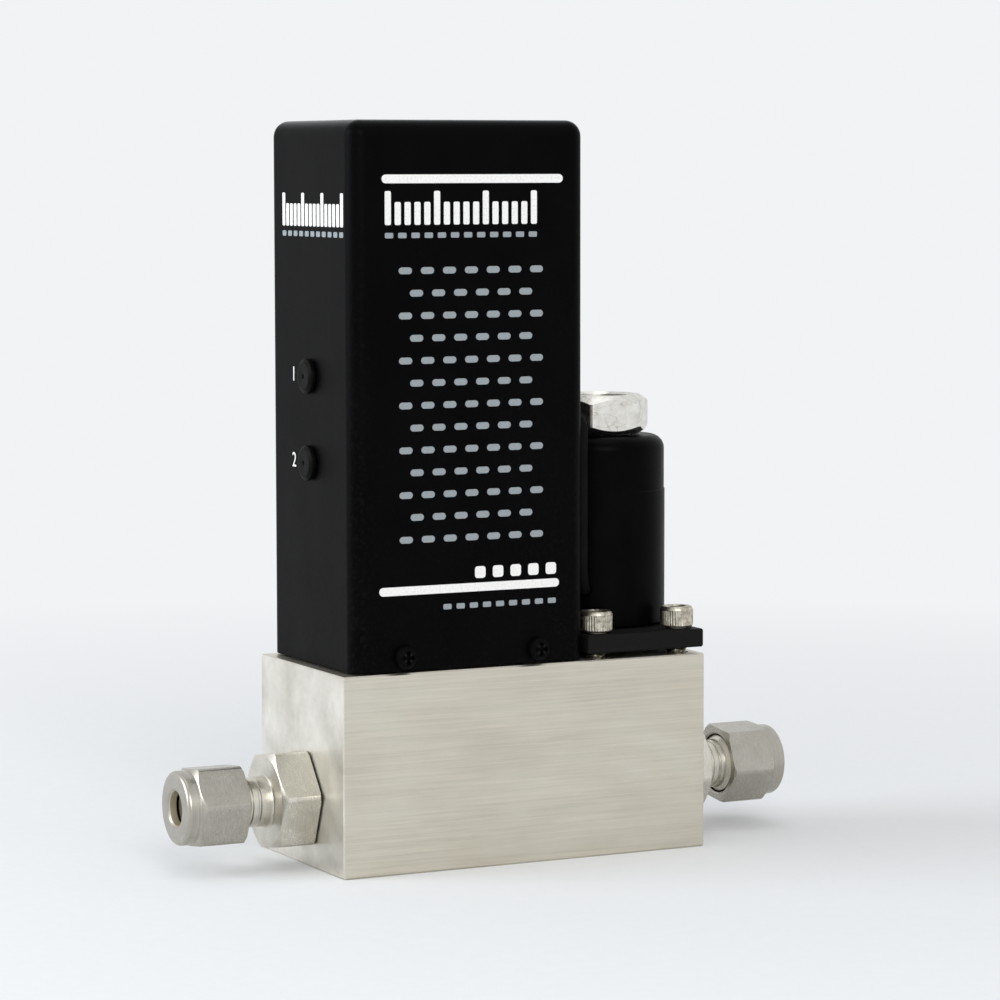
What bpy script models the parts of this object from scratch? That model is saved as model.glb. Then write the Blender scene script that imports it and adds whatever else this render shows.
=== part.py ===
"""Thermal mass flow controller: a stainless flow block between two compression fittings,
a thermal bypass sensor and its circuit board under a black can, and a solenoid valve.

Sizes are in millimetres and become metres where a mesh is made. X runs along the flow,
-Y is the front and +Z is up. The origin is the middle of the flow block's underside.
"""

import math

import bmesh
import bpy
from mathutils import Matrix, Vector

MM = 0.001

# Gaps between pieces
SEAT_GAP = 0.3
BORE_GAP = 0.3
SEAL_GAP = 0.12
RUNNING_GAP = 0.15
PLUNGER_GAP = 0.2

# How far a cutting tool starts outside its piece, and small chamfers
OVERRUN = 1.0
EDGE_BREAK = 0.4

# Flow block. Its length and depth follow from the can and the valve on it
BLOCK_HEIGHT = 37.6
BLOCK_EDGE = 0.3
PORT_HEIGHT = 12.5
PORT_DEPTH = 11.0
PORT_MOUTH_DEPTH = 2.4
ELEMENT_BORE = 12.4
ELEMENT_BORE_ROOM = 0.85
PASSAGE = 4.8
RISER = 3.0
SEAT_OUTLET = 2.4
TAP = 2.4
THREAD_RUNOUT = 1.5
BASE_HOLE = 3.6
BASE_HOLE_DEPTH = 8.0
BASE_HOLE_SPACING_X = 50.8
BASE_HOLE_SPACING_Y = 25.4
UPRIGHT_BORE_TURN = 7.0
LEVEL_BORE_TURN = 9.0

# Compression fittings for 6.35 mm tube
TUBE = 6.35
TUBE_GAP = 0.1
THROUGH_BORE = 4.8
STUD = 14.29
STUD_LENGTH = 9.9
UNDERCUT = 11.8
BODY_HEX = 17.46
BODY_HEX_THICKNESS = 7.4
NECK = 9.4
NECK_LENGTH = 6.2
NUT_THREAD = 11.1
NUT_THREAD_LENGTH = 6.2
TUBE_DEPTH = 15.3
FITTING_REACH = 25.7
NUT_HEX = 14.29
NUT_LENGTH = 12.2
NUT_COLLAR = 13.9
NUT_COLLAR_LENGTH = 2.6
NUT_END_CHAMFER = 0.6
HEX_CHAMFER = 0.45
FERRULE_NOSE = 0.9
FRONT_FERRULE = 3.0
BACK_FERRULE = 1.2
FERRULE_WALL = 1.3
PORT_SEAL = 1.9
INLET_BODY_TURN = 10.0
INLET_NUT_TURN = 4.0
OUTLET_BODY_TURN = -8.0
OUTLET_NUT_TURN = -6.0

# Laminar flow element
ELEMENT_END_ROOM = 0.8
ELEMENT_SEAL = 1.3
ELEMENT_HOLE = 1.3
ELEMENT_HOLES = 8
ELEMENT_HOLE_CIRCLE = 5.6
ELEMENT_PULLER = 2.4
ELEMENT_PULLER_DEPTH = 2.0

# Thermal sensor
SENSOR_SIDE_ROOM = 9.75
SENSOR_BASE_HEIGHT = 7.0
SENSOR_SEAL = 1.3
SENSOR_SEAL_RECESS = 1.2
SENSOR_LEG_ROOM = 1.5
SENSOR_TUBE = 1.0
SENSOR_TUBE_RISE = 15.0
SENSOR_TUBE_BEND = 3.0
WINDING = 3.4
WINDING_END_ROOM = 0.7
HEATER_SHARE = 0.28
SENSOR_HOUSING_DEPTH = 12.0
SENSOR_HOUSING_WALL = 1.2
SENSOR_HOUSING_ROOM = 3.4
SENSOR_SCREW_INSET = 3.0
SENSOR_SCREW_ROOM = 1.0

# Can
CAN_LENGTH = 48.3
CAN_HEIGHT = 101.4
CAN_WALL = 1.3
CAN_RADIUS = 3.0
CAN_LEFT_INSET = 2.2
CAN_SIDE_INSET = 0.3
CAN_VALVE_GAP = 0.35
WINDOW_EDGE = 4.15
WINDOW_DEPTH = 14.0
WINDOW_RADIUS = 2.0
CAN_SCREW_RISE = 3.0
CAN_SCREW_INSET = 10.35

# Board bracket, a bent sheet
BRACKET_SHEET = 1.5
BRACKET_BEND = 1.6
BRACKET_FLANGE_RISE = 8.4
BRACKET_END_STRIP = 2.35
BRACKET_TONGUE_WIDTH = 16.0
BRACKET_SCREW_INSET = 12.0
STANDOFF = 6.0

# Circuit board
BOARD_FRONT = 3.0
BOARD_THICKNESS = 1.6
BOARD_END_ROOM = 2.85
BOARD_LIFT = 4.5
CARD_EDGE_ROOM = 6.5
CARD_EDGE_HEIGHT = 10.3
CARD_EDGE_RECESS = 2.0
CARD_EDGE_CHAMFER = 0.8
KEY_SLOT = 1.2
KEY_SLOT_DEPTH = 6.0
KEY_SLOT_OFFSET = 5.0
BOARD_SCREW_RISE = 7.0
BOARD_SCREW_DROP = 9.0

# Parts on the board
PART_SPACING = 2.5
TRIMMER_LENGTH = 9.6
TRIMMER_WIDTH = 4.8
TRIMMER_HEIGHT = 9.5
TRIMMER_SCREW = 2.2
TRIMMER_SCREW_INSET = 2.2
TRIMMER_SCREW_LENGTH = 2.8
TRIMMER_SCREW_SINK = 1.4
TRIMMER_RISE = 6.6
TRIMMER_SPACING = 16.2
TRIMMER_EDGE = 0.4
DRIVER_SLOT = 0.5
DRIVER_SLOT_DEPTH = 0.6
CAPACITOR = 8.0
CAPACITOR_LENGTH = 12.0
CHIP_LENGTH = 9.8
CHIP_WIDTH = 6.4
CHIP_HEIGHT = 3.3
CHIP_STAND = 0.5
CHIP_PIN_PITCH = 2.54
CHIP_PIN_WIDTH = 1.2
CHIP_PIN_REACH = 0.9
CHIP_NOTCH = 1.6
CHIP_PINS_PER_SIDE = 4
TRANSISTOR_WIDTH = 10.2
TRANSISTOR_HEIGHT = 15.0
TRANSISTOR_TAB = 1.3
TRANSISTOR_BODY = 9.0
TRANSISTOR_BODY_THICKNESS = 3.4
TRANSISTOR_HOLE = 3.6

# Adjustment plugs
PLUG_HEAD = 6.6
PLUG_HEAD_HEIGHT = 1.1
PLUG_SHANK = 4.8
PLUG_SHANK_LENGTH = 3.0
PLUG_BARB = 0.35
PLUG_WALL = 1.0
PLUG_DIMPLE = 0.9

# Solenoid valve
VALVE_RIGHT_INSET = 0.05
FLANGE_INSET = 0.15
FLANGE_THICKNESS = 3.5
FLANGE_RISE = 1.2
FLANGE_EDGE = 0.3
SPACER_BORDER = 2.8
FLANGE_SCREW_INSET_X = 3.7
FLANGE_SCREW_INSET_Y = 4.15
FLANGE_SCREW_ROOM = 1.455
CAVITY = 17.0
SEAT_WEB = 0.455
STEM_SEAL = 1.8
SEAT_BORE = 6.4
SEAT_BORE_DEPTH = 3.6
NOZZLE_RISE = 2.0
NOZZLE = 3.6
ORIFICE = 1.1
STEM_FLANGE_THICKNESS = 3.2
STEM_TUBE = 12.0
STEM_BORE = 8.8
PLUNGER_LENGTH = 33.7
PLUNGER_STROKE = 0.4
PLUNGER_GROOVE = 1.0
PLUNGER_CONE = 1.2
PLUNGER_CONE_LENGTH = 3.0
SPRING_WIRE = 0.6
SPRING = 4.6
SPRING_LENGTH = 7.2
SPRING_TURNS = 5
SPRING_POINTS_PER_TURN = 8
COIL_HEIGHT = 36.4
COIL = 25.3
COIL_RIM = 2.6
COIL_WALL = 1.4
COIL_WRAP = 0.15
COIL_WRAP_DROP = 10.4
COIL_WINDING_ROOM = 1.6
BOBBIN_FLANGE = 1.2
BOBBIN_INSET = 1.0
VALVE_NUT_HEX = 17.5
VALVE_NUT_HEIGHT = 7.5
VALVE_NUT_CHAMFER = 1.0
VALVE_NUT_TURN = -7.2
STEM_END_RECESS = 0.7
STEM_DIMPLE = 7.0
STEM_DIMPLE_DEPTH = 1.2

# Coil lead
LEAD = 2.4
LEAD_BEND_POINTS = 3
LEAD_EXIT_GAP = 0.6
GROMMET_LIP = 1.0
GROMMET_LIP_THICKNESS = 0.6
LEAD_EXIT_RISE = 7.4
LEAD_ENTRY_RISE = 4.2
LEAD_COIL_GAP = 1.1
LEAD_WALL_ROOM = 1.9

# Screws
SOCKET_HEAD = 6.4
SOCKET_HEAD_HEIGHT = 3.9
SOCKET_SCREW = 4.0
SOCKET_SCREW_LENGTH = 12.5
SOCKET_HEX = 3.4
SOCKET_DEPTH = 2.0
PAN_HEAD = 5.0
PAN_HEAD_HEIGHT = 2.0
PAN_SCREW = 2.8
PAN_SCREW_LENGTH = 6.0
CAN_SCREW_HEAD = 4.4
CAN_SCREW_HEAD_HEIGHT = 1.5
CAN_SCREW_LENGTH = 5.0
CROSS_WIDTH = 0.7
CROSS_REACH = 1.3
CROSS_DEPTH = 0.8

# Facets of round pieces
FINE_SEGMENTS = 32
ROUND_SEGMENTS = 20
SMALL_SEGMENTS = 14
TINY_SEGMENTS = 10
RING_SEGMENTS = 5

# Places worked out from the sizes above
BLOCK_LENGTH = CAN_LEFT_INSET + CAN_LENGTH + CAN_VALVE_GAP + COIL + VALVE_RIGHT_INSET
FLANGE_WIDTH = COIL - 2 * FLANGE_INSET
FLANGE_SCREW_X = FLANGE_WIDTH / 2 - FLANGE_SCREW_INSET_X
FLANGE_SCREW_CIRCLE = COIL / 2 + SOCKET_HEAD / 2 + FLANGE_SCREW_ROOM
FLANGE_SCREW_Y = math.sqrt(FLANGE_SCREW_CIRCLE**2 - FLANGE_SCREW_X**2)
BLOCK_DEPTH = 2 * (FLANGE_SCREW_Y + FLANGE_SCREW_INSET_Y)
BLOCK_END = BLOCK_LENGTH / 2
DECK = BLOCK_HEIGHT + SEAT_GAP
CAN_DEPTH = BLOCK_DEPTH - 2 * CAN_SIDE_INSET
CAN_TOP = DECK + CAN_HEIGHT
CAN_LEFT = -BLOCK_END + CAN_LEFT_INSET
CAN_RIGHT = CAN_LEFT + CAN_LENGTH
CAN_MIDDLE = (CAN_LEFT + CAN_RIGHT) / 2
CAN_SCREW_HEIGHT = BLOCK_HEIGHT + CAN_SCREW_RISE
WINDOW_LENGTH = CAN_LENGTH - 2 * WINDOW_EDGE
BRACKET_LENGTH = CAN_LENGTH - 2 * CAN_RADIUS
BRACKET_SIDE = CAN_DEPTH / 2 - CAN_WALL - SEAT_GAP - BRACKET_SHEET / 2
SENSOR_BASE_DEPTH = CAN_DEPTH - 2 * SENSOR_SIDE_ROOM
SENSOR_BASE_LENGTH = BRACKET_LENGTH - 2 * BRACKET_END_STRIP - 4 * SEAT_GAP
SENSOR_SCREW_REACH = SENSOR_BASE_LENGTH / 2 - SENSOR_SCREW_INSET
SENSOR_HOUSING_LENGTH = 2 * (SENSOR_SCREW_REACH - PAN_HEAD / 2 - SENSOR_SCREW_ROOM)
SENSOR_LEG_SPACING = SENSOR_HOUSING_LENGTH - 2 * (SENSOR_HOUSING_WALL + SENSOR_LEG_ROOM)
SENSOR_LEGS = (
    CAN_MIDDLE - SENSOR_LEG_SPACING / 2,
    CAN_MIDDLE + SENSOR_LEG_SPACING / 2,
)
SENSOR_BASE_TOP = DECK + SENSOR_BASE_HEIGHT
SENSOR_SPAN_HEIGHT = SENSOR_BASE_TOP + SENSOR_TUBE_RISE
SENSOR_HOUSING_TOP = SENSOR_SPAN_HEIGHT + SENSOR_HOUSING_ROOM + SENSOR_HOUSING_WALL
ELEMENT_LENGTH = SENSOR_LEG_SPACING - TAP - 2 * ELEMENT_END_ROOM
BOARD_LENGTH = CAN_LENGTH - 2 * (CAN_WALL + BOARD_END_ROOM)
BOARD_LEFT = CAN_MIDDLE - BOARD_LENGTH / 2
BOARD_RIGHT = CAN_MIDDLE + BOARD_LENGTH / 2
BOARD_BACK = BOARD_FRONT + BOARD_THICKNESS
BOARD_MIDDLE = BOARD_FRONT + BOARD_THICKNESS / 2
BOARD_FACE = BOARD_FRONT - SEAT_GAP
BOARD_BOTTOM = SENSOR_HOUSING_TOP + BOARD_LIFT
CARD_EDGE_LENGTH = WINDOW_LENGTH - 2 * CARD_EDGE_ROOM
CARD_EDGE_TOP = CAN_TOP - CARD_EDGE_RECESS
BOARD_SHOULDER = CARD_EDGE_TOP - CARD_EDGE_HEIGHT
BOARD_SCREW_LOW = BOARD_BOTTOM + BOARD_SCREW_RISE
BOARD_SCREW_HIGH = BOARD_SHOULDER - BOARD_SCREW_DROP
ZERO_HEIGHT = BOARD_BOTTOM + TRIMMER_RISE
SPAN_HEIGHT = ZERO_HEIGHT + TRIMMER_SPACING
TRIMMER_Y = BOARD_FACE - TRIMMER_WIDTH / 2
UPPER_PARTS = SPAN_HEIGHT - TRIMMER_SCREW_INSET + TRIMMER_HEIGHT + 2 * PART_SPACING
VALVE_X = CAN_RIGHT + CAN_VALVE_GAP + COIL / 2
FLANGE_BOTTOM = BLOCK_HEIGHT + FLANGE_RISE
FLANGE_TOP = FLANGE_BOTTOM + FLANGE_THICKNESS
SPACER_SIDE = CAVITY + 2 * SPACER_BORDER
SPACER_THICKNESS = FLANGE_RISE - 2 * SEAT_GAP
CAVITY_FLOOR = PORT_HEIGHT + STUD / 2 + BORE_GAP + SEAT_WEB + SEAT_BORE_DEPTH
NOZZLE_TOP = CAVITY_FLOOR + NOZZLE_RISE
PLUNGER = STEM_BORE - 2 * PLUNGER_GAP
PLUNGER_BOTTOM = NOZZLE_TOP + SEAT_GAP
PLUNGER_TOP = PLUNGER_BOTTOM + PLUNGER_LENGTH
POLE_FACE = PLUNGER_TOP + PLUNGER_STROKE + SEAT_GAP
COIL_WINDING = COIL - 2 * (COIL_WALL + COIL_WINDING_ROOM)
COIL_BOTTOM = FLANGE_TOP + SEAT_GAP
COIL_TOP = COIL_BOTTOM + COIL_HEIGHT
COIL_WRAP_TOP = COIL_TOP - COIL_WRAP_DROP
VALVE_NUT_BOTTOM = COIL_TOP + SEAT_GAP
VALVE_NUT_TOP = VALVE_NUT_BOTTOM + VALVE_NUT_HEIGHT
LEAD_X = CAN_RIGHT + LEAD_WALL_ROOM + LEAD / 2
LEAD_CIRCLE = COIL / 2 + LEAD_COIL_GAP + LEAD / 2
LEAD_FRONT = -math.sqrt(LEAD_CIRCLE**2 - (VALVE_X - LEAD_X) ** 2)
LEAD_EXIT_HEIGHT = COIL_BOTTOM + LEAD_EXIT_RISE
LEAD_ENTRY_HEIGHT = COIL_TOP + LEAD_ENTRY_RISE
GROMMET_WAIST = LEAD + 2 * RUNNING_GAP + 2 * GROMMET_LIP

# Finishes: colour, metallic, roughness
BRUSHED_STAINLESS = ((0.56, 0.54, 0.49, 1.0), 1.0, 0.38)
TURNED_STAINLESS = ((0.62, 0.60, 0.55, 1.0), 1.0, 0.28)
PLATED_STEEL = ((0.72, 0.71, 0.67, 1.0), 1.0, 0.3)
BLACK_OXIDE = ((0.02, 0.02, 0.02, 1.0), 0.6, 0.5)
BLACK_PAINT = ((0.008, 0.008, 0.009, 1.0), 0.0, 0.42)
BLACK_PLASTIC = ((0.02, 0.02, 0.02, 1.0), 0.0, 0.5)
BLACK_RUBBER = ((0.012, 0.012, 0.012, 1.0), 0.0, 0.75)
BLUE_PLASTIC = ((0.02, 0.08, 0.30, 1.0), 0.0, 0.45)
GREEN_LAMINATE = ((0.01, 0.13, 0.05, 1.0), 0.0, 0.45)
COPPER_WIRE = ((0.62, 0.27, 0.13, 1.0), 1.0, 0.35)
ALUMINIUM = ((0.70, 0.70, 0.71, 1.0), 1.0, 0.4)
BRASS = ((0.72, 0.52, 0.22, 1.0), 1.0, 0.3)


def clear_scene():
    for obj in list(bpy.data.objects):
        bpy.data.objects.remove(obj, do_unlink=True)


def make_collection(name):
    found = bpy.data.collections.new(name)
    bpy.context.scene.collection.children.link(found)
    return found


def finish_material(name, finish):
    """One Principled material for one piece."""
    colour, metallic, roughness = finish
    material = bpy.data.materials.new(name)
    material.use_nodes = True
    shader = material.node_tree.nodes["Principled BSDF"]
    shader.inputs["Base Color"].default_value = colour
    shader.inputs["Metallic"].default_value = metallic
    shader.inputs["Roughness"].default_value = roughness
    material.diffuse_color = colour
    return material


class Model:
    """Holds the two collections and makes objects in them."""

    def __init__(self, name):
        self.parts = make_collection(name)
        self.cutters = make_collection(name + " cutters")
        self.cutters.hide_render = True

    def part(self, name, mesh, finish, place=Matrix()):
        obj = bpy.data.objects.new(name, mesh)
        obj.matrix_world = place
        obj.data.materials.append(finish_material(name, finish))
        self.parts.objects.link(obj)
        return obj

    def cutter(self, name, mesh, place=Matrix()):
        obj = bpy.data.objects.new(name, mesh)
        obj.matrix_world = place
        obj.hide_render = True
        obj.display_type = "WIRE"
        self.cutters.objects.link(obj)
        return obj

    def boolean(self, obj, mesh, place, operation):
        """Cuts, joins or intersects obj with a mesh that gets its own helper object."""
        number = len(obj.modifiers) + 1
        helper = self.cutter(f"{obj.name} {operation.lower()} {number}", mesh, place)
        modifier = obj.modifiers.new(helper.name, "BOOLEAN")
        modifier.operation = operation
        modifier.solver = "EXACT"
        modifier.object = helper
        return helper

    def cut(self, obj, mesh, place=Matrix()):
        return self.boolean(obj, mesh, place, "DIFFERENCE")

    def join(self, obj, mesh, place=Matrix()):
        return self.boolean(obj, mesh, place, "UNION")

    def keep(self, obj, mesh, place=Matrix()):
        return self.boolean(obj, mesh, place, "INTERSECT")


def at(x, y, z):
    return Matrix.Translation(Vector((x, y, z)) * MM)


def facing(direction, turn=0.0):
    """Turns local +Z to a world direction, after a turn about local Z in degrees."""
    aim = Vector(direction).to_track_quat("Z", "Y").to_matrix().to_4x4()
    return aim @ Matrix.Rotation(math.radians(turn), 4, "Z")


def box_mesh(name, length, depth, height):
    bm = bmesh.new()
    bmesh.ops.create_cube(bm, size=1.0)
    bmesh.ops.scale(bm, vec=Vector((length, depth, height)) * MM, verts=bm.verts)
    mesh = bpy.data.meshes.new(name)
    bm.to_mesh(mesh)
    bm.free()
    return mesh


def rod_mesh(name, diameter, length, sides=SMALL_SEGMENTS, end=None):
    """A rod from the local origin along +Z. Its far end may have another diameter."""
    bm = bmesh.new()
    far = diameter if end is None else end
    bmesh.ops.create_cone(
        bm,
        cap_ends=True,
        segments=sides,
        radius1=diameter / 2 * MM,
        radius2=far / 2 * MM,
        depth=length * MM,
    )
    bmesh.ops.translate(bm, vec=(0, 0, length / 2 * MM), verts=bm.verts)
    mesh = bpy.data.meshes.new(name)
    bm.to_mesh(mesh)
    bm.free()
    mesh.shade_smooth()
    mesh.set_sharp_from_angle(angle=math.radians(40))
    return mesh


def hexagon_mesh(name, across_flats, length):
    """A hexagon bar along +Z from the origin, with a corner on local +X."""
    return rod_mesh(name, across_flats / math.cos(math.pi / 6), length, sides=6)


def turned_mesh(name, outline, sides=ROUND_SEGMENTS, closed=False):
    """Revolves an outline of (radius, height) about Z. The outline runs down its outer side."""
    points = [(radius * MM, 0, height * MM) for radius, height in outline]
    edges = [(index, index + 1) for index in range(len(points) - 1)]
    if closed:
        edges.append((len(points) - 1, 0))
    mesh = bpy.data.meshes.new(name)
    mesh.from_pydata(points, edges, [])
    guide = bpy.data.objects.new(name, mesh)
    bpy.context.scene.collection.objects.link(guide)
    screw = guide.modifiers.new("Screw", "SCREW")
    screw.axis = "Z"
    screw.steps = sides
    screw.render_steps = sides
    screw.use_merge_vertices = True
    screw.merge_threshold = 1e-6
    graph = bpy.context.evaluated_depsgraph_get()
    turned = bpy.data.meshes.new_from_object(guide.evaluated_get(graph))
    bpy.data.objects.remove(guide, do_unlink=True)
    turned.name = name
    turned.shade_smooth()
    turned.set_sharp_from_angle(angle=math.radians(28))
    return turned


def ring_mesh(name, middle, thickness, sides=ROUND_SEGMENTS, around=RING_SEGMENTS):
    """An O-ring: middle is the diameter at the middle of its section."""
    outline = []
    for step in range(around):
        angle = math.pi / 2 - 2 * math.pi * (step + 0.5) / around
        radius = middle / 2 + thickness / 2 * math.cos(angle)
        outline.append((radius, thickness / 2 * math.sin(angle)))
    return turned_mesh(name, outline, sides, closed=True)


def outline_mesh(name, points, thickness):
    """A flat outline in local XY, filled and given a thickness about the plane."""
    curve = bpy.data.curves.new(name, "CURVE")
    curve.dimensions = "2D"
    curve.fill_mode = "BOTH"
    curve.extrude = thickness / 2 * MM
    spline = curve.splines.new("POLY")
    spline.points.add(len(points) - 1)
    for point, (x, y) in zip(spline.points, points):
        point.co = (x * MM, y * MM, 0, 1)
    spline.use_cyclic_u = True
    return mesh_of_curve(name, curve)


def tube_mesh(name, points, diameter):
    """A round wire or tube along a smooth route."""
    curve = bpy.data.curves.new(name, "CURVE")
    curve.dimensions = "3D"
    curve.bevel_depth = diameter / 2 * MM
    curve.bevel_resolution = 2
    curve.use_fill_caps = True
    spline = curve.splines.new("POLY")
    spline.points.add(len(points) - 1)
    for point, place in zip(spline.points, points):
        point.co = (*(Vector(place) * MM), 1)
    return mesh_of_curve(name, curve)


def mesh_of_curve(name, curve):
    guide = bpy.data.objects.new(name, curve)
    bpy.context.scene.collection.objects.link(guide)
    graph = bpy.context.evaluated_depsgraph_get()
    mesh = bpy.data.meshes.new_from_object(guide.evaluated_get(graph))
    bpy.data.objects.remove(guide, do_unlink=True)
    bpy.data.curves.remove(curve)
    bm = bmesh.new()
    bm.from_mesh(mesh)
    bmesh.ops.remove_doubles(bm, verts=bm.verts, dist=1e-6)
    bmesh.ops.recalc_face_normals(bm, faces=bm.faces)
    bm.to_mesh(mesh)
    bm.free()
    mesh.name = name
    mesh.shade_smooth()
    mesh.set_sharp_from_angle(angle=math.radians(40))
    return mesh


def smooth_route(route, steps):
    """Points on a Catmull-Rom curve through the route's own points."""
    ends = [2 * route[0] - route[1], *route, 2 * route[-1] - route[-2]]
    points = []
    for before, start, finish, after in zip(ends, ends[1:], ends[2:], ends[3:]):
        for step in range(steps):
            t = step / steps
            points.append(
                0.5
                * (
                    2 * start
                    + (finish - before) * t
                    + (2 * before - 5 * start + 4 * finish - after) * t * t
                    + (3 * start - before - 3 * finish + after) * t * t * t
                )
            )
    points.append(route[-1])
    return points


def soften(obj, width, segments=1):
    """Rounds or breaks the sharp edges of a box-like piece."""
    bevel = obj.modifiers.new("Edge", "BEVEL")
    bevel.width = width * MM
    bevel.segments = segments
    bevel.limit_method = "ANGLE"
    bevel.angle_limit = math.radians(50)
    return bevel


def fitting_place(side, turn=0.0):
    """The frame of a fitting: its +Z leaves the block's end face along the port's axis."""
    upright = -90.0 * side
    place = at(side * BLOCK_END, 0, PORT_HEIGHT)
    return place @ facing((side, 0, 0)) @ Matrix.Rotation(
        math.radians(upright + side * turn), 4, "Z"
    )


def build_flow_block(model):
    """The block: two ports, the flow element's bore, the way through the valve, and holes."""
    mesh = box_mesh("flow_block", BLOCK_LENGTH, BLOCK_DEPTH, BLOCK_HEIGHT)
    block = model.part("flow_block", mesh, BRUSHED_STAINLESS, at(0, 0, BLOCK_HEIGHT / 2))
    soften(block, BLOCK_EDGE)
    cut_screw_holes(model, block)
    for side in (-1, 1):
        start = at(side * (BLOCK_END + OVERRUN), 0, PORT_HEIGHT)
        model.cut(block, turned_mesh("port", port_outline()), start @ facing((-side, 0, 0)))
    port_end = -BLOCK_END + PORT_DEPTH - OVERRUN
    element_end = SENSOR_LEGS[1] + TAP / 2 + ELEMENT_BORE_ROOM
    cut_level_bore(model, block, ELEMENT_BORE, port_end, element_end, ROUND_SEGMENTS)
    riser_x = VALVE_X - CAVITY / 2 + RISER / 2 + BORE_GAP
    cut_level_bore(model, block, PASSAGE, element_end - OVERRUN, riser_x + PASSAGE / 2)
    cut_level_bore(model, block, PASSAGE, VALVE_X - PASSAGE / 2, -port_end)
    turn = facing((0, 0, 1), UPRIGHT_BORE_TURN)
    cavity = turned_mesh("valve cavity", valve_cavity_outline())
    model.cut(block, cavity, at(VALVE_X, 0, 0) @ turn)
    riser = rod_mesh("riser", RISER, CAVITY_FLOOR + OVERRUN - PORT_HEIGHT)
    model.cut(block, riser, at(riser_x, 0, PORT_HEIGHT) @ turn)
    for x in SENSOR_LEGS:
        tap = turned_mesh("sensor tap", sensor_tap_outline(), SMALL_SEGMENTS)
        model.cut(block, tap, at(x, 0, 0) @ turn)


def cut_screw_holes(model, block):
    """Blind holes for the screws on top, and the mounting holes underneath."""
    flange_depth = SOCKET_SCREW_LENGTH - FLANGE_THICKNESS - FLANGE_RISE + THREAD_RUNOUT
    for x, y in flange_screw_places():
        cut_tapped_hole(model, block, x, y, SOCKET_SCREW, flange_depth)
    for x, y in sensor_screw_places() + bracket_screw_places():
        cut_tapped_hole(model, block, x, y, PAN_SCREW, PAN_SCREW_LENGTH + THREAD_RUNOUT)
    for x, y in base_hole_places():
        hole = rod_mesh("base hole", BASE_HOLE, BASE_HOLE_DEPTH + OVERRUN, TINY_SEGMENTS)
        model.cut(block, hole, at(x, y, -OVERRUN))


def cut_level_bore(model, block, bore, start, end, sides=0):
    """A bore along X at the ports' height."""
    mesh = rod_mesh("level bore", bore, end - start, sides or SMALL_SEGMENTS)
    model.cut(block, mesh, at(start, 0, PORT_HEIGHT) @ facing((1, 0, 0), LEVEL_BORE_TURN))


def port_outline():
    bore = STUD / 2 + BORE_GAP
    mouth = UNDERCUT / 2 + PORT_SEAL + 3 * SEAL_GAP
    floor = PORT_DEPTH + OVERRUN
    step = PORT_MOUTH_DEPTH + OVERRUN
    return [(0, floor), (bore, floor), (bore, step), (mouth, step), (mouth, 0), (0, 0)]


def sensor_tap_outline():
    recess = TAP / 2 + SENSOR_SEAL + 3 * SEAL_GAP
    step = BLOCK_HEIGHT - SENSOR_SEAL_RECESS
    top = BLOCK_HEIGHT + OVERRUN
    return [
        (0, top),
        (recess, top),
        (recess, step),
        (TAP / 2, step),
        (TAP / 2, PORT_HEIGHT),
        (0, PORT_HEIGHT),
    ]


def base_hole_places():
    return [
        (sx * BASE_HOLE_SPACING_X / 2, sy * BASE_HOLE_SPACING_Y / 2)
        for sy in (-1, 1)
        for sx in (-1, 1)
    ]


def valve_cavity_outline():
    seat = SEAT_BORE / 2 + BORE_GAP
    return [
        (0, BLOCK_HEIGHT + OVERRUN),
        (CAVITY / 2, BLOCK_HEIGHT + OVERRUN),
        (CAVITY / 2, CAVITY_FLOOR),
        (seat, CAVITY_FLOOR),
        (seat, CAVITY_FLOOR - SEAT_BORE_DEPTH),
        (SEAT_OUTLET / 2, CAVITY_FLOOR - SEAT_BORE_DEPTH),
        (SEAT_OUTLET / 2, PORT_HEIGHT),
        (0, PORT_HEIGHT),
    ]


def cut_tapped_hole(model, block, x, y, thread, depth):
    hole = rod_mesh("tapped hole", thread + 2 * BORE_GAP, depth + OVERRUN, TINY_SEGMENTS)
    model.cut(block, hole, at(x, y, BLOCK_HEIGHT - depth))


def flange_screw_places():
    return [
        (VALVE_X + sx * FLANGE_SCREW_X, sy * FLANGE_SCREW_Y)
        for sy in (-1, 1)
        for sx in (-1, 1)
    ]


def sensor_screw_places():
    return [(CAN_MIDDLE - SENSOR_SCREW_REACH, 0), (CAN_MIDDLE + SENSOR_SCREW_REACH, 0)]


def bracket_screw_places():
    reach = BRACKET_LENGTH / 2 - BRACKET_SCREW_INSET
    row = (SENSOR_BASE_DEPTH / 2 + BRACKET_SIDE - BRACKET_SHEET / 2) / 2
    return [(CAN_MIDDLE - reach, -row), (CAN_MIDDLE + reach, row)]


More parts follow.
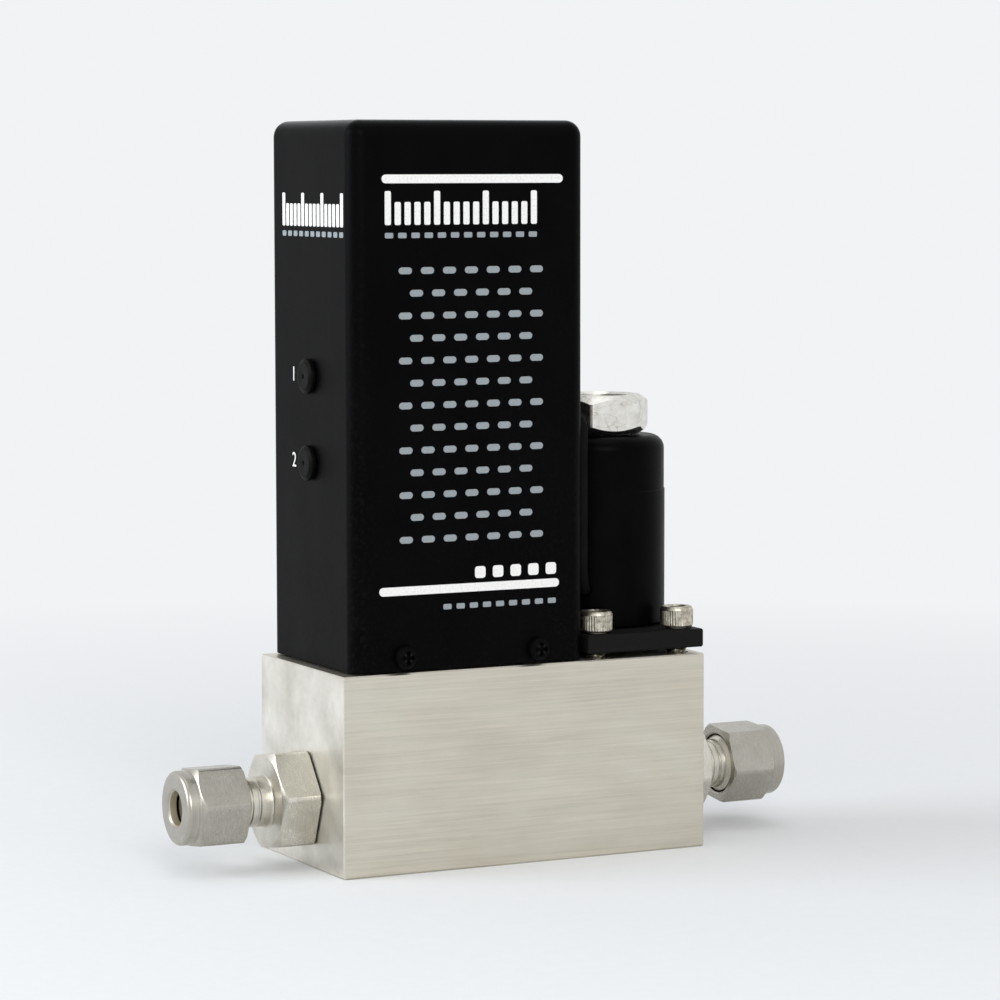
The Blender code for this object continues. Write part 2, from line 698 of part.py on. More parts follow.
def build_fitting(model, name, side, body_turn, nut_turn):
    """One compression fitting: body, nut, two ferrules and the port's O-ring."""
    hex_start = SEAT_GAP
    hex_end = hex_start + BODY_HEX_THICKNESS
    neck_end = hex_end + NECK_LENGTH
    front = neck_end + NUT_THREAD_LENGTH
    bore = TUBE / 2 + TUBE_GAP
    shoulder = FITTING_REACH - TUBE_DEPTH
    corner = BODY_HEX / 2 / math.cos(math.pi / 6)
    seat = bore + FERRULE_WALL * 0.9
    body = [
        (seat, front),
        (NUT_THREAD / 2 - HEX_CHAMFER, front),
        (NUT_THREAD / 2, front - HEX_CHAMFER),
        (NUT_THREAD / 2, neck_end),
        (NECK / 2, neck_end - (NUT_THREAD - NECK) / 2),
        (NECK / 2, hex_end),
        (BODY_HEX / 2 - EDGE_BREAK / 2, hex_end),
        (corner, hex_end - (corner - BODY_HEX / 2) * 0.6),
        (corner, hex_start),
        (UNDERCUT / 2, hex_start),
        (UNDERCUT / 2, -PORT_MOUTH_DEPTH),
        (STUD / 2 - EDGE_BREAK, -PORT_MOUTH_DEPTH),
        (STUD / 2, -PORT_MOUTH_DEPTH - EDGE_BREAK),
        (STUD / 2, 2 * EDGE_BREAK - STUD_LENGTH),
        (STUD / 2 - 2 * EDGE_BREAK, -STUD_LENGTH),
        (THROUGH_BORE / 2, -STUD_LENGTH),
        (THROUGH_BORE / 2, shoulder),
        (bore, shoulder),
        (bore, front - FERRULE_NOSE - 1.0),
    ]
    mesh = turned_mesh(name + "_fitting_body", body, closed=True)
    place = fitting_place(side, body_turn)
    connector = model.part(name + "_fitting_body", mesh, TURNED_STAINLESS, place)
    bar = hexagon_mesh("body hexagon", BODY_HEX, FITTING_REACH + STUD_LENGTH + 2 * OVERRUN)
    model.keep(connector, bar, place @ at(0, 0, -STUD_LENGTH - OVERRUN))
    build_nut(model, name, place=fitting_place(side, nut_turn), front=front, bore=bore)
    build_ferrules(model, name, fitting_place(side), front, bore)
    seal = ring_mesh(name + "_o_ring", UNDERCUT + PORT_SEAL + 2 * SEAL_GAP, PORT_SEAL)
    seal_height = SEAT_GAP - SEAL_GAP - PORT_SEAL / 2
    model.part(name + "_o_ring", seal, BLACK_RUBBER, fitting_place(side) @ at(0, 0, seal_height))


def build_nut(model, name, place, front, bore):
    start = FITTING_REACH - NUT_LENGTH
    corner = NUT_HEX / 2 / math.cos(math.pi / 6)
    collar = NUT_COLLAR / 2
    collar_start = FITTING_REACH - NUT_COLLAR_LENGTH
    thread = NUT_THREAD / 2 + BORE_GAP
    shoulder = ferrule_stack(front)[-1] + SEAL_GAP
    cone_end = shoulder + (thread - bore) * 0.2
    nut = [
        (bore, FITTING_REACH),
        (collar - NUT_END_CHAMFER, FITTING_REACH),
        (collar - NUT_END_CHAMFER * 0.3, FITTING_REACH - NUT_END_CHAMFER * 0.3),
        (collar, FITTING_REACH - NUT_END_CHAMFER),
        (collar, collar_start),
        (corner, collar_start - (corner - collar) * 0.7),
        (corner, start + HEX_CHAMFER),
        (corner - HEX_CHAMFER, start),
        (thread, start),
        (thread, shoulder - EDGE_BREAK),
        (thread - EDGE_BREAK, shoulder),
        (bore, cone_end),
    ]
    mesh = turned_mesh(name + "_nut", nut, closed=True)
    obj = model.part(name + "_nut", mesh, TURNED_STAINLESS, place)
    bar = hexagon_mesh("nut hexagon", NUT_HEX, NUT_LENGTH + 2 * OVERRUN)
    model.keep(obj, bar, place @ at(0, 0, start - OVERRUN))


def ferrule_stack(front):
    """Heights of the front ferrule's nose, the joint and the back ferrule's heel."""
    nose = front - FERRULE_NOSE
    joint = nose + FRONT_FERRULE
    return nose, joint, joint + SEAL_GAP + BACK_FERRULE


def build_ferrules(model, name, place, front, bore):
    nose, joint, heel = ferrule_stack(front)
    outside = bore + FERRULE_WALL
    front_ferrule = [
        (bore + 0.02, joint),
        (outside, joint),
        (outside, front + 0.5),
        (bore + 0.3, nose),
        (bore + 0.02, nose),
    ]
    back_ferrule = [
        (bore + 0.02, heel),
        (outside, heel),
        (outside, joint + SEAL_GAP + 0.3),
        (bore + 0.02, joint + SEAL_GAP),
    ]
    for part, outline in (("_front_ferrule", front_ferrule), ("_back_ferrule", back_ferrule)):
        mesh = turned_mesh(name + part, outline, SMALL_SEGMENTS, closed=True)
        model.part(name + part, mesh, TURNED_STAINLESS, place)


def build_laminar_element(model):
    """A turned plug with a ring of fine flow holes and one seal in a groove."""
    radius = ELEMENT_BORE / 2 - BORE_GAP
    groove_depth = ELEMENT_BORE / 2 - ELEMENT_SEAL - 2 * SEAL_GAP
    groove_start = ELEMENT_LENGTH - ELEMENT_PULLER_DEPTH
    groove_end = groove_start - ELEMENT_SEAL - 2 * SEAL_GAP
    outline = [
        (0, ELEMENT_LENGTH - ELEMENT_PULLER_DEPTH - EDGE_BREAK),
        (ELEMENT_PULLER / 2, ELEMENT_LENGTH - ELEMENT_PULLER_DEPTH),
        (ELEMENT_PULLER / 2, ELEMENT_LENGTH),
        (radius, ELEMENT_LENGTH),
        (radius, groove_start),
        (groove_depth, groove_start),
        (groove_depth, groove_end),
        (radius, groove_end),
        (radius, 0),
        (0, 0),
    ]
    end = CAN_MIDDLE + ELEMENT_LENGTH / 2
    place = at(end, 0, PORT_HEIGHT) @ facing((-1, 0, 0))
    mesh = turned_mesh("laminar_element", outline, SMALL_SEGMENTS)
    element = model.part("laminar_element", mesh, TURNED_STAINLESS, place)
    for index in range(ELEMENT_HOLES):
        turn = Matrix.Rotation(2 * math.pi * index / ELEMENT_HOLES, 4, "Z")
        hole = rod_mesh("flow hole", ELEMENT_HOLE, ELEMENT_LENGTH + 2 * OVERRUN, 6)
        model.cut(element, hole, place @ turn @ at(ELEMENT_HOLE_CIRCLE / 2, 0, -OVERRUN))
    seal = ring_mesh("element_seal", 2 * groove_depth + ELEMENT_SEAL + SEAL_GAP, ELEMENT_SEAL, SMALL_SEGMENTS)
    middle = (groove_start + groove_end) / 2
    model.part("element_seal", seal, BLACK_RUBBER, place @ at(0, 0, middle))


def build_sensor(model):
    """The bypass sensor: base, seals, capillary with its three windings, and a housing."""
    mesh = box_mesh("sensor_base", SENSOR_BASE_LENGTH, SENSOR_BASE_DEPTH, SENSOR_BASE_HEIGHT)
    base = model.part(
        "sensor_base",
        mesh,
        BRUSHED_STAINLESS,
        at(CAN_MIDDLE, 0, DECK + SENSOR_BASE_HEIGHT / 2),
    )
    soften(base, BLOCK_EDGE)
    for x in SENSOR_LEGS:
        channel = rod_mesh("capillary channel", SENSOR_TUBE + 2 * BORE_GAP, SENSOR_BASE_HEIGHT + 2 * OVERRUN, 8)
        model.cut(base, channel, at(x, 0, DECK - OVERRUN))
    for x, y in sensor_screw_places():
        hole = rod_mesh("screw hole", PAN_SCREW + 2 * BORE_GAP, SENSOR_BASE_HEIGHT + 2 * OVERRUN, TINY_SEGMENTS)
        model.cut(base, hole, at(x, y, DECK - OVERRUN))
    seal_floor = BLOCK_HEIGHT - SENSOR_SEAL_RECESS + SEAL_GAP
    for label, x in zip(("inlet", "outlet"), SENSOR_LEGS):
        seal = ring_mesh("seal", TAP + SENSOR_SEAL + 2 * SEAL_GAP, SENSOR_SEAL, TINY_SEGMENTS)
        place = at(x, 0, seal_floor + SENSOR_SEAL / 2)
        model.part(f"sensor_{label}_seal", seal, BLACK_RUBBER, place)
    build_capillary(model)
    build_windings(model)
    build_sensor_housing(model)
    for number, (x, y) in enumerate(sensor_screw_places(), 1):
        add_pan_screw(model, f"sensor_screw_{number}", at(x, y, SENSOR_BASE_TOP), SENSOR_BASE_HEIGHT)


def build_capillary(model):
    left, right = SENSOR_LEGS
    foot = DECK + 2 * SEAT_GAP
    bend = SENSOR_TUBE_BEND
    route = [(left, 0, foot), (left, 0, SENSOR_BASE_TOP + SENSOR_TUBE_BEND)]
    for corner_x, start in ((left + bend, math.pi), (right - bend, math.pi / 2)):
        for step in range(5):
            angle = start - math.pi / 2 * step / 4
            x = corner_x + bend * math.cos(angle)
            z = SENSOR_SPAN_HEIGHT - bend + bend * math.sin(angle)
            route.append((x, 0, z))
    route += [(right, 0, SENSOR_BASE_TOP + SENSOR_TUBE_BEND), (right, 0, foot)]
    model.part("sensor_capillary", tube_mesh("sensor_capillary", route, SENSOR_TUBE), TURNED_STAINLESS)


def build_windings(model):
    """Two sensing windings with the heater winding between them, on the level span."""
    inner = SENSOR_TUBE / 2 + RUNNING_GAP
    outer = WINDING / 2
    span = SENSOR_LEG_SPACING - 2 * (SENSOR_TUBE_BEND + WINDING_END_ROOM)
    heater = (span - 2 * SEAT_GAP) * HEATER_SHARE
    sensing = (span - 2 * SEAT_GAP - heater) / 2
    step = (heater + sensing) / 2 + SEAT_GAP
    windings = (
        ("upstream_winding", -step, sensing),
        ("heater_winding", 0.0, heater),
        ("downstream_winding", step, sensing),
    )
    for name, offset, length in windings:
        outline = [
            (inner, length),
            (outer - EDGE_BREAK, length),
            (outer, length - EDGE_BREAK),
            (outer, EDGE_BREAK),
            (outer - EDGE_BREAK, 0),
            (inner, 0),
        ]
        place = at(CAN_MIDDLE + offset - length / 2, 0, SENSOR_SPAN_HEIGHT) @ facing((1, 0, 0))
        mesh = turned_mesh(name, outline, TINY_SEGMENTS, closed=True)
        model.part(name, mesh, COPPER_WIRE, place)


def build_sensor_housing(model):
    bottom = SENSOR_BASE_TOP + SEAT_GAP
    height = SENSOR_HOUSING_TOP - bottom
    middle = at(CAN_MIDDLE, 0, bottom + height / 2)
    mesh = box_mesh("sensor_housing", SENSOR_HOUSING_LENGTH, SENSOR_HOUSING_DEPTH, height)
    housing = model.part("sensor_housing", mesh, ALUMINIUM, middle)
    soften(housing, 2 * EDGE_BREAK, 2)
    hollow = box_mesh(
        "sensor hollow",
        SENSOR_HOUSING_LENGTH - 2 * SENSOR_HOUSING_WALL,
        SENSOR_HOUSING_DEPTH - 2 * SENSOR_HOUSING_WALL,
        height,
    )
    model.cut(housing, hollow, middle @ at(0, 0, -SENSOR_HOUSING_WALL))


def pan_screw_outline(head, head_height, thread, length):
    return [
        (0, head_height),
        (head / 2 * 0.68, head_height),
        (head / 2 * 0.94, head_height * 0.68),
        (head / 2, 0),
        (thread / 2, 0),
        (thread / 2, -length),
        (0, -length),
    ]


def cut_cross(model, screw, place, head_height):
    """The cross recess of a small screw."""
    for turn in (0, 90):
        bar = box_mesh("cross", 2 * CROSS_REACH, CROSS_WIDTH, CROSS_DEPTH + OVERRUN)
        lift = head_height + (OVERRUN - CROSS_DEPTH) / 2
        model.cut(screw, bar, place @ facing((0, 0, 1), turn) @ at(0, 0, lift))


def add_pan_screw(model, name, seat, grip, finish=PLATED_STEEL):
    """A pan head screw whose head sits on a seat and whose thread passes the grip."""
    place = seat @ at(0, 0, SEAT_GAP)
    length = grip + PAN_SCREW_LENGTH
    outline = pan_screw_outline(PAN_HEAD, PAN_HEAD_HEIGHT, PAN_SCREW, length)
    screw = model.part(name, turned_mesh(name, outline, TINY_SEGMENTS), finish, place)
    cut_cross(model, screw, place, PAN_HEAD_HEIGHT)
    return screw


def build_bracket(model):
    """A sheet bent up at front and back: it holds the can's screws and the board."""
    sheet = BRACKET_SHEET
    side = BRACKET_SIDE
    floor = DECK + sheet / 2
    top = DECK + BRACKET_FLANGE_RISE
    tongue_top = BOARD_SCREW_HIGH + STANDOFF
    half = BRACKET_LENGTH / 2
    profile = [(-side, top), (-side, floor), (side, floor), (side, tongue_top)]
    bm = bmesh.new()
    row = [bm.verts.new(Vector((-half, y, z)) * MM) for y, z in profile]
    edges = [bm.edges.new(pair) for pair in zip(row, row[1:])]
    made = bmesh.ops.extrude_edge_only(bm, edges=edges)["geom"]
    moved = [item for item in made if isinstance(item, bmesh.types.BMVert)]
    bmesh.ops.translate(bm, vec=(2 * half * MM, 0, 0), verts=moved)
    mesh = bpy.data.meshes.new("board_bracket")
    bm.to_mesh(mesh)
    bm.free()
    bracket = model.part("board_bracket", mesh, ALUMINIUM, at(CAN_MIDDLE, 0, 0))
    soften(bracket, BRACKET_BEND, 2)
    solidify = bracket.modifiers.new("Sheet", "SOLIDIFY")
    solidify.thickness = sheet * MM
    solidify.offset = 0
    solidify.use_even_offset = True
    opening = box_mesh(
        "sensor opening",
        SENSOR_BASE_LENGTH + 4 * SEAT_GAP,
        SENSOR_BASE_DEPTH + 4 * SEAT_GAP,
        4 * sheet,
    )
    model.cut(bracket, opening, at(CAN_MIDDLE, 0, floor))
    trim_height = tongue_top - top + OVERRUN
    trim_width = (2 * half - BRACKET_TONGUE_WIDTH) / 2 + OVERRUN
    for end in (-1, 1):
        trim = box_mesh("tongue trim", trim_width, 4 * sheet, trim_height)
        x = CAN_MIDDLE + end * (BRACKET_TONGUE_WIDTH + trim_width) / 2
        model.cut(bracket, trim, at(x, side, top + trim_height / 2))
    add_standoffs(model, bracket, side)
    for x, y in bracket_screw_places():
        hole = rod_mesh("screw hole", PAN_SCREW + 2 * BORE_GAP, 4 * sheet, TINY_SEGMENTS)
        model.cut(bracket, hole, at(x, y, floor - 2 * sheet))
    for x, y, direction in can_screw_places():
        hole = rod_mesh("screw hole", PAN_SCREW + 2 * BORE_GAP, 4 * sheet, TINY_SEGMENTS)
        place = at(x, y, CAN_SCREW_HEIGHT) @ facing((0, -direction, 0))
        model.cut(bracket, hole, place)
    for number, (x, y) in enumerate(bracket_screw_places(), 1):
        seat = at(x, y, DECK + sheet)
        add_pan_screw(model, f"bracket_screw_{number}", seat, sheet + SEAT_GAP)


def add_standoffs(model, bracket, side):
    """Two pressed-in pillars that reach forward to the back of the board."""
    front = BOARD_BACK + SEAT_GAP
    for z in (BOARD_SCREW_LOW, BOARD_SCREW_HIGH):
        pillar = rod_mesh("standoff", STANDOFF, side - front, SMALL_SEGMENTS)
        place = at(CAN_MIDDLE, side, z) @ facing((0, -1, 0))
        model.join(bracket, pillar, place)
        hole = rod_mesh("standoff hole", PAN_SCREW + 2 * BORE_GAP, PAN_SCREW_LENGTH + 2 * OVERRUN, TINY_SEGMENTS)
        model.cut(bracket, hole, at(CAN_MIDDLE, front - OVERRUN, z) @ facing((0, 1, 0)))


def build_board(model):
    """The circuit board with its card edge, key slot and screw holes."""
    half = BOARD_LENGTH / 2
    edge = CARD_EDGE_LENGTH / 2
    slot = KEY_SLOT_OFFSET
    outline = [
        (-half, BOARD_BOTTOM),
        (half, BOARD_BOTTOM),
        (half, BOARD_SHOULDER),
        (edge, BOARD_SHOULDER),
        (edge, CARD_EDGE_TOP - CARD_EDGE_CHAMFER),
        (edge - CARD_EDGE_CHAMFER, CARD_EDGE_TOP),
        (slot + KEY_SLOT, CARD_EDGE_TOP),
        (slot + KEY_SLOT, CARD_EDGE_TOP - KEY_SLOT_DEPTH),
        (slot, CARD_EDGE_TOP - KEY_SLOT_DEPTH),
        (slot, CARD_EDGE_TOP),
        (CARD_EDGE_CHAMFER - edge, CARD_EDGE_TOP),
        (-edge, CARD_EDGE_TOP - CARD_EDGE_CHAMFER),
        (-edge, BOARD_SHOULDER),
        (-half, BOARD_SHOULDER),
    ]
    mesh = outline_mesh("circuit_board", outline, BOARD_THICKNESS)
    place = at(CAN_MIDDLE, BOARD_MIDDLE, 0) @ Matrix.Rotation(math.pi / 2, 4, "X")
    board = model.part("circuit_board", mesh, GREEN_LAMINATE, place)
    for number, z in enumerate((BOARD_SCREW_LOW, BOARD_SCREW_HIGH), 1):
        hole = rod_mesh("board hole", PAN_SCREW + 2 * BORE_GAP, BOARD_THICKNESS + 2 * OVERRUN, TINY_SEGMENTS)
        model.cut(board, hole, at(CAN_MIDDLE, BOARD_BACK + OVERRUN, z) @ facing((0, -1, 0)))
        seat = at(CAN_MIDDLE, BOARD_FRONT, z) @ facing((0, -1, 0))
        add_pan_screw(model, f"board_screw_{number}", seat, BOARD_THICKNESS)


def build_trimmer(model, name, height):
    """A trimming potentiometer with its slotted screw facing the plug in the can."""
    left = BOARD_LEFT + TRIMMER_EDGE
    y = TRIMMER_Y
    z = height - TRIMMER_SCREW_INSET + TRIMMER_HEIGHT / 2
    middle = at(left + TRIMMER_LENGTH / 2, y, z)
    mesh = box_mesh(name + "_trimmer", TRIMMER_LENGTH, TRIMMER_WIDTH, TRIMMER_HEIGHT)
    body = model.part(name + "_trimmer", mesh, BLUE_PLASTIC, middle)
    soften(body, 0.2)
    axis = at(left, y, height) @ facing((-1, 0, 0))
    socket = rod_mesh("screw socket", TRIMMER_SCREW + 2 * RUNNING_GAP, TRIMMER_SCREW_SINK + OVERRUN, TINY_SEGMENTS)
    model.cut(body, socket, axis @ at(0, 0, -TRIMMER_SCREW_SINK))
    start = SEAT_GAP - TRIMMER_SCREW_SINK
    screw_mesh = rod_mesh(name + "_trimmer_screw", TRIMMER_SCREW, TRIMMER_SCREW_LENGTH, TINY_SEGMENTS)
    screw_place = axis @ at(0, 0, start)
    screw = model.part(name + "_trimmer_screw", screw_mesh, BRASS, screw_place)
    slot = box_mesh("driver slot", 2 * TRIMMER_SCREW, DRIVER_SLOT, 2 * DRIVER_SLOT_DEPTH)
    model.cut(screw, slot, screw_place @ at(0, 0, TRIMMER_SCREW_LENGTH))


def build_board_parts(model):
    """The larger soldered parts on the front of the board."""
    build_capacitor(model)
    build_chip(model)
    build_transistor(model)


def build_capacitor(model):
    """An electrolytic can with its rolled groove near the foot."""
    radius = CAPACITOR / 2
    groove = CAPACITOR_LENGTH / 6
    can = [
        (0, CAPACITOR_LENGTH),
        (radius - EDGE_BREAK, CAPACITOR_LENGTH),
        (radius, CAPACITOR_LENGTH - EDGE_BREAK),
        (radius, groove + EDGE_BREAK),
        (radius - EDGE_BREAK, groove),
        (radius, groove - EDGE_BREAK),
        (radius, EDGE_BREAK),
        (radius - EDGE_BREAK, 0),
        (0, 0),
    ]
    place = at(BOARD_LEFT + PART_SPACING + radius, BOARD_FACE - radius, UPPER_PARTS)
    mesh = turned_mesh("filter_capacitor", can, SMALL_SEGMENTS)
    model.part("filter_capacitor", mesh, BLACK_PLASTIC, place)


def build_chip(model):
    """A small dual in-line chip standing on its two rows of pins."""
    y = BOARD_FACE - CHIP_STAND - CHIP_HEIGHT / 2
    middle = at(BOARD_RIGHT - CHIP_LENGTH / 2 - 2 * PART_SPACING, y, SPAN_HEIGHT)
    mesh = box_mesh("amplifier_chip", CHIP_LENGTH, CHIP_HEIGHT, CHIP_WIDTH)
    chip = model.part("amplifier_chip", mesh, BLACK_PLASTIC, middle)
    depth = CHIP_HEIGHT / 2 + CHIP_STAND
    row = (CHIP_WIDTH + CHIP_PIN_REACH) / 2 - CHIP_PIN_REACH / 10
    for side in (-1, 1):
        for index in range(CHIP_PINS_PER_SIDE):
            x = (index - (CHIP_PINS_PER_SIDE - 1) / 2) * CHIP_PIN_PITCH
            pin = box_mesh("pin", CHIP_PIN_WIDTH, depth, CHIP_PIN_REACH)
            model.join(chip, pin, middle @ at(x, depth / 2, side * row))
    notch = rod_mesh("notch", CHIP_NOTCH, OVERRUN, 8)
    face = at(-CHIP_LENGTH / 2, -(CHIP_HEIGHT + OVERRUN) / 2, 0)
    model.cut(chip, notch, middle @ face @ facing((0, 1, 0)))


def build_transistor(model):
    """A power transistor flat on the board, its tab with a hole above its body."""
    x = BOARD_RIGHT - TRANSISTOR_WIDTH / 2 - PART_SPACING
    middle = at(x, BOARD_FACE - TRANSISTOR_TAB / 2, UPPER_PARTS + TRANSISTOR_HEIGHT / 2)
    mesh = box_mesh("drive_transistor", TRANSISTOR_WIDTH, TRANSISTOR_TAB, TRANSISTOR_HEIGHT)
    tab = model.part("drive_transistor", mesh, BLACK_PLASTIC, middle)
    body = box_mesh(
        "transistor body",
        TRANSISTOR_WIDTH - EDGE_BREAK,
        TRANSISTOR_BODY_THICKNESS,
        TRANSISTOR_BODY,
    )
    forward = -(TRANSISTOR_BODY_THICKNESS + EDGE_BREAK) / 2
    lift = (TRANSISTOR_BODY - TRANSISTOR_HEIGHT + EDGE_BREAK) / 2
    model.join(tab, body, middle @ at(0, forward, lift))
    hole = rod_mesh("tab hole", TRANSISTOR_HOLE, 4 * TRANSISTOR_TAB, TINY_SEGMENTS)
    height = UPPER_PARTS + (TRANSISTOR_HEIGHT + TRANSISTOR_BODY) / 2
    place = at(x, BOARD_FACE + 2 * TRANSISTOR_TAB, height) @ facing((0, -1, 0))
    model.cut(tab, hole, place)


def can_screw_places():
    """(x, outer face y, outward direction) of the can's four screws."""
    face = CAN_DEPTH / 2
    return [
        (CAN_MIDDLE + sx * (CAN_LENGTH / 2 - CAN_SCREW_INSET), side * face, side)
        for side in (-1, 1)
        for sx in (-1, 1)
    ]


def build_can(model):
    """The can is one thin shell, open below, with a window over the card edge."""
    height = CAN_TOP - DECK
    mesh = box_mesh("can", CAN_LENGTH, CAN_DEPTH, height)
    bm = bmesh.new()
    bm.from_mesh(mesh)
    lowest = min(face.calc_center_median().z for face in bm.faces)
    below = [face for face in bm.faces if face.calc_center_median().z < lowest + 1e-5]
    bmesh.ops.delete(bm, geom=below, context="FACES")
    bm.to_mesh(mesh)
    bm.free()
    can = model.part("can", mesh, BLACK_PAINT, at(CAN_MIDDLE, 0, DECK + height / 2))
    soften(can, CAN_RADIUS, 4)
    shell = can.modifiers.new("Wall", "SOLIDIFY")
    shell.thickness = CAN_WALL * MM
    shell.offset = -1
    shell.use_even_offset = True
    window = rounded_outline(WINDOW_LENGTH, WINDOW_DEPTH, WINDOW_RADIUS)
    place = at(CAN_MIDDLE, BOARD_MIDDLE, CAN_TOP)
    model.cut(can, outline_mesh("card window", window, 6 * CAN_WALL), place)
    for z in (SPAN_HEIGHT, ZERO_HEIGHT):
        hole = rod_mesh("plug hole", PLUG_SHANK + 2 * BORE_GAP, 6 * CAN_WALL, SMALL_SEGMENTS)
        start = at(CAN_LEFT - 3 * CAN_WALL, TRIMMER_Y, z)
        model.cut(can, hole, start @ facing((1, 0, 0)))
    for x, y, side in can_screw_places():
        hole = rod_mesh("can screw hole", PAN_SCREW + 2 * BORE_GAP, 6 * CAN_WALL, TINY_SEGMENTS)
        place = at(x, y + side * 3 * CAN_WALL, CAN_SCREW_HEIGHT) @ facing((0, -side, 0))
        model.cut(can, hole, place)
    hole = rod_mesh("grommet hole", GROMMET_WAIST + 2 * BORE_GAP, 6 * CAN_WALL, SMALL_SEGMENTS)
    start = at(CAN_RIGHT - 3 * CAN_WALL, LEAD_FRONT, LEAD_ENTRY_HEIGHT)
    model.cut(can, hole, start @ facing((1, 0, 0)))


def rounded_outline(length, depth, radius, steps=3):
    points = []
    for index, (sx, sy) in enumerate(((1, 1), (-1, 1), (-1, -1), (1, -1))):
        for step in range(steps + 1):
            angle = math.pi / 2 * (index + step / steps)
            x = sx * (length / 2 - radius) + radius * math.cos(angle)
            y = sy * (depth / 2 - radius) + radius * math.sin(angle)
            points.append((x, y))
    return points


def build_can_screws(model):
    for number, (x, y, side) in enumerate(can_screw_places(), 1):
        place = at(x, y + side * SEAT_GAP, CAN_SCREW_HEIGHT) @ facing((0, side, 0))
        outline = pan_screw_outline(
            CAN_SCREW_HEAD, CAN_SCREW_HEAD_HEIGHT, PAN_SCREW, CAN_SCREW_LENGTH
        )
        name = f"can_screw_{number}"
        screw = model.part(name, turned_mesh(name, outline, SMALL_SEGMENTS), BLACK_OXIDE, place)
        cut_cross(model, screw, place, CAN_SCREW_HEAD_HEIGHT)


def build_plug(model, name, height):
    """A snap-in plug over one trimmer: a low domed head on a barbed hollow shank."""
    shank = PLUG_SHANK / 2
    barb_start = -CAN_WALL - SEAT_GAP
    outline = [
        (0, PLUG_HEAD_HEIGHT - EDGE_BREAK / 2),
        (PLUG_DIMPLE / 2, PLUG_HEAD_HEIGHT),
        (PLUG_HEAD / 2 - EDGE_BREAK, PLUG_HEAD_HEIGHT - EDGE_BREAK / 4),
        (PLUG_HEAD / 2, PLUG_HEAD_HEIGHT - 1.5 * EDGE_BREAK),
        (PLUG_HEAD / 2, 0),
        (shank, 0),
        (shank, barb_start - SEAT_GAP),
        (shank + PLUG_BARB, barb_start - SEAT_GAP - PLUG_BARB),
        (shank - EDGE_BREAK, -PLUG_SHANK_LENGTH),
        (shank - PLUG_WALL, -PLUG_SHANK_LENGTH),
        (shank - PLUG_WALL, -EDGE_BREAK),
        (0, -EDGE_BREAK),
    ]
    place = at(CAN_LEFT - SEAT_GAP, TRIMMER_Y, height) @ facing((-1, 0, 0))
    mesh = turned_mesh(name, outline, ROUND_SEGMENTS)
    model.part(name, mesh, BLACK_PLASTIC, place)


def build_valve_mount(model):
    """The flange plate, the spacer under it and their four socket screws."""
    spacer_middle = at(VALVE_X, 0, DECK + SPACER_THICKNESS / 2)
    spacer_mesh = box_mesh("valve_spacer", SPACER_SIDE, SPACER_SIDE, SPACER_THICKNESS)
    spacer = model.part("valve_spacer", spacer_mesh, BRUSHED_STAINLESS, spacer_middle)
    plate_middle = at(VALVE_X, 0, FLANGE_BOTTOM + FLANGE_THICKNESS / 2)
    plate_mesh = box_mesh("valve_flange", FLANGE_WIDTH, BLOCK_DEPTH, FLANGE_THICKNESS)
    plate = model.part("valve_flange", plate_mesh, BLACK_OXIDE, plate_middle)
    soften(plate, FLANGE_EDGE)
    bore = STEM_TUBE + 2 * BORE_GAP
    below = at(VALVE_X, 0, DECK - OVERRUN)
    through = FLANGE_TOP + OVERRUN - DECK + OVERRUN
    model.cut(spacer, rod_mesh("stem hole", bore, through, ROUND_SEGMENTS), below)
    model.cut(plate, rod_mesh("stem hole", bore, through, ROUND_SEGMENTS), below)
    for number, (x, y) in enumerate(flange_screw_places(), 1):
        hole = rod_mesh("flange hole", SOCKET_SCREW + 2 * BORE_GAP, through, TINY_SEGMENTS)
        model.cut(plate, hole, at(x, y, DECK - OVERRUN))
        add_socket_screw(model, f"flange_screw_{number}", x, y)


def add_socket_screw(model, name, x, y):
    """A socket head cap screw standing on the flange plate."""
    head = SOCKET_HEAD / 2
    thread = SOCKET_SCREW / 2
    outline = [
        (0, SOCKET_HEAD_HEIGHT),
        (head - EDGE_BREAK, SOCKET_HEAD_HEIGHT),
        (head, SOCKET_HEAD_HEIGHT - EDGE_BREAK),
        (head, 0),
        (thread, 0),
        (thread, -SOCKET_SCREW_LENGTH),
        (0, -SOCKET_SCREW_LENGTH),
    ]
    place = at(x, y, FLANGE_TOP + SEAT_GAP)
    screw = model.part(name, turned_mesh(name, outline, SMALL_SEGMENTS + 2), PLATED_STEEL, place)
    socket = hexagon_mesh("socket", SOCKET_HEX, SOCKET_DEPTH + OVERRUN)
    model.cut(screw, socket, place @ at(0, 0, SOCKET_HEAD_HEIGHT - SOCKET_DEPTH))


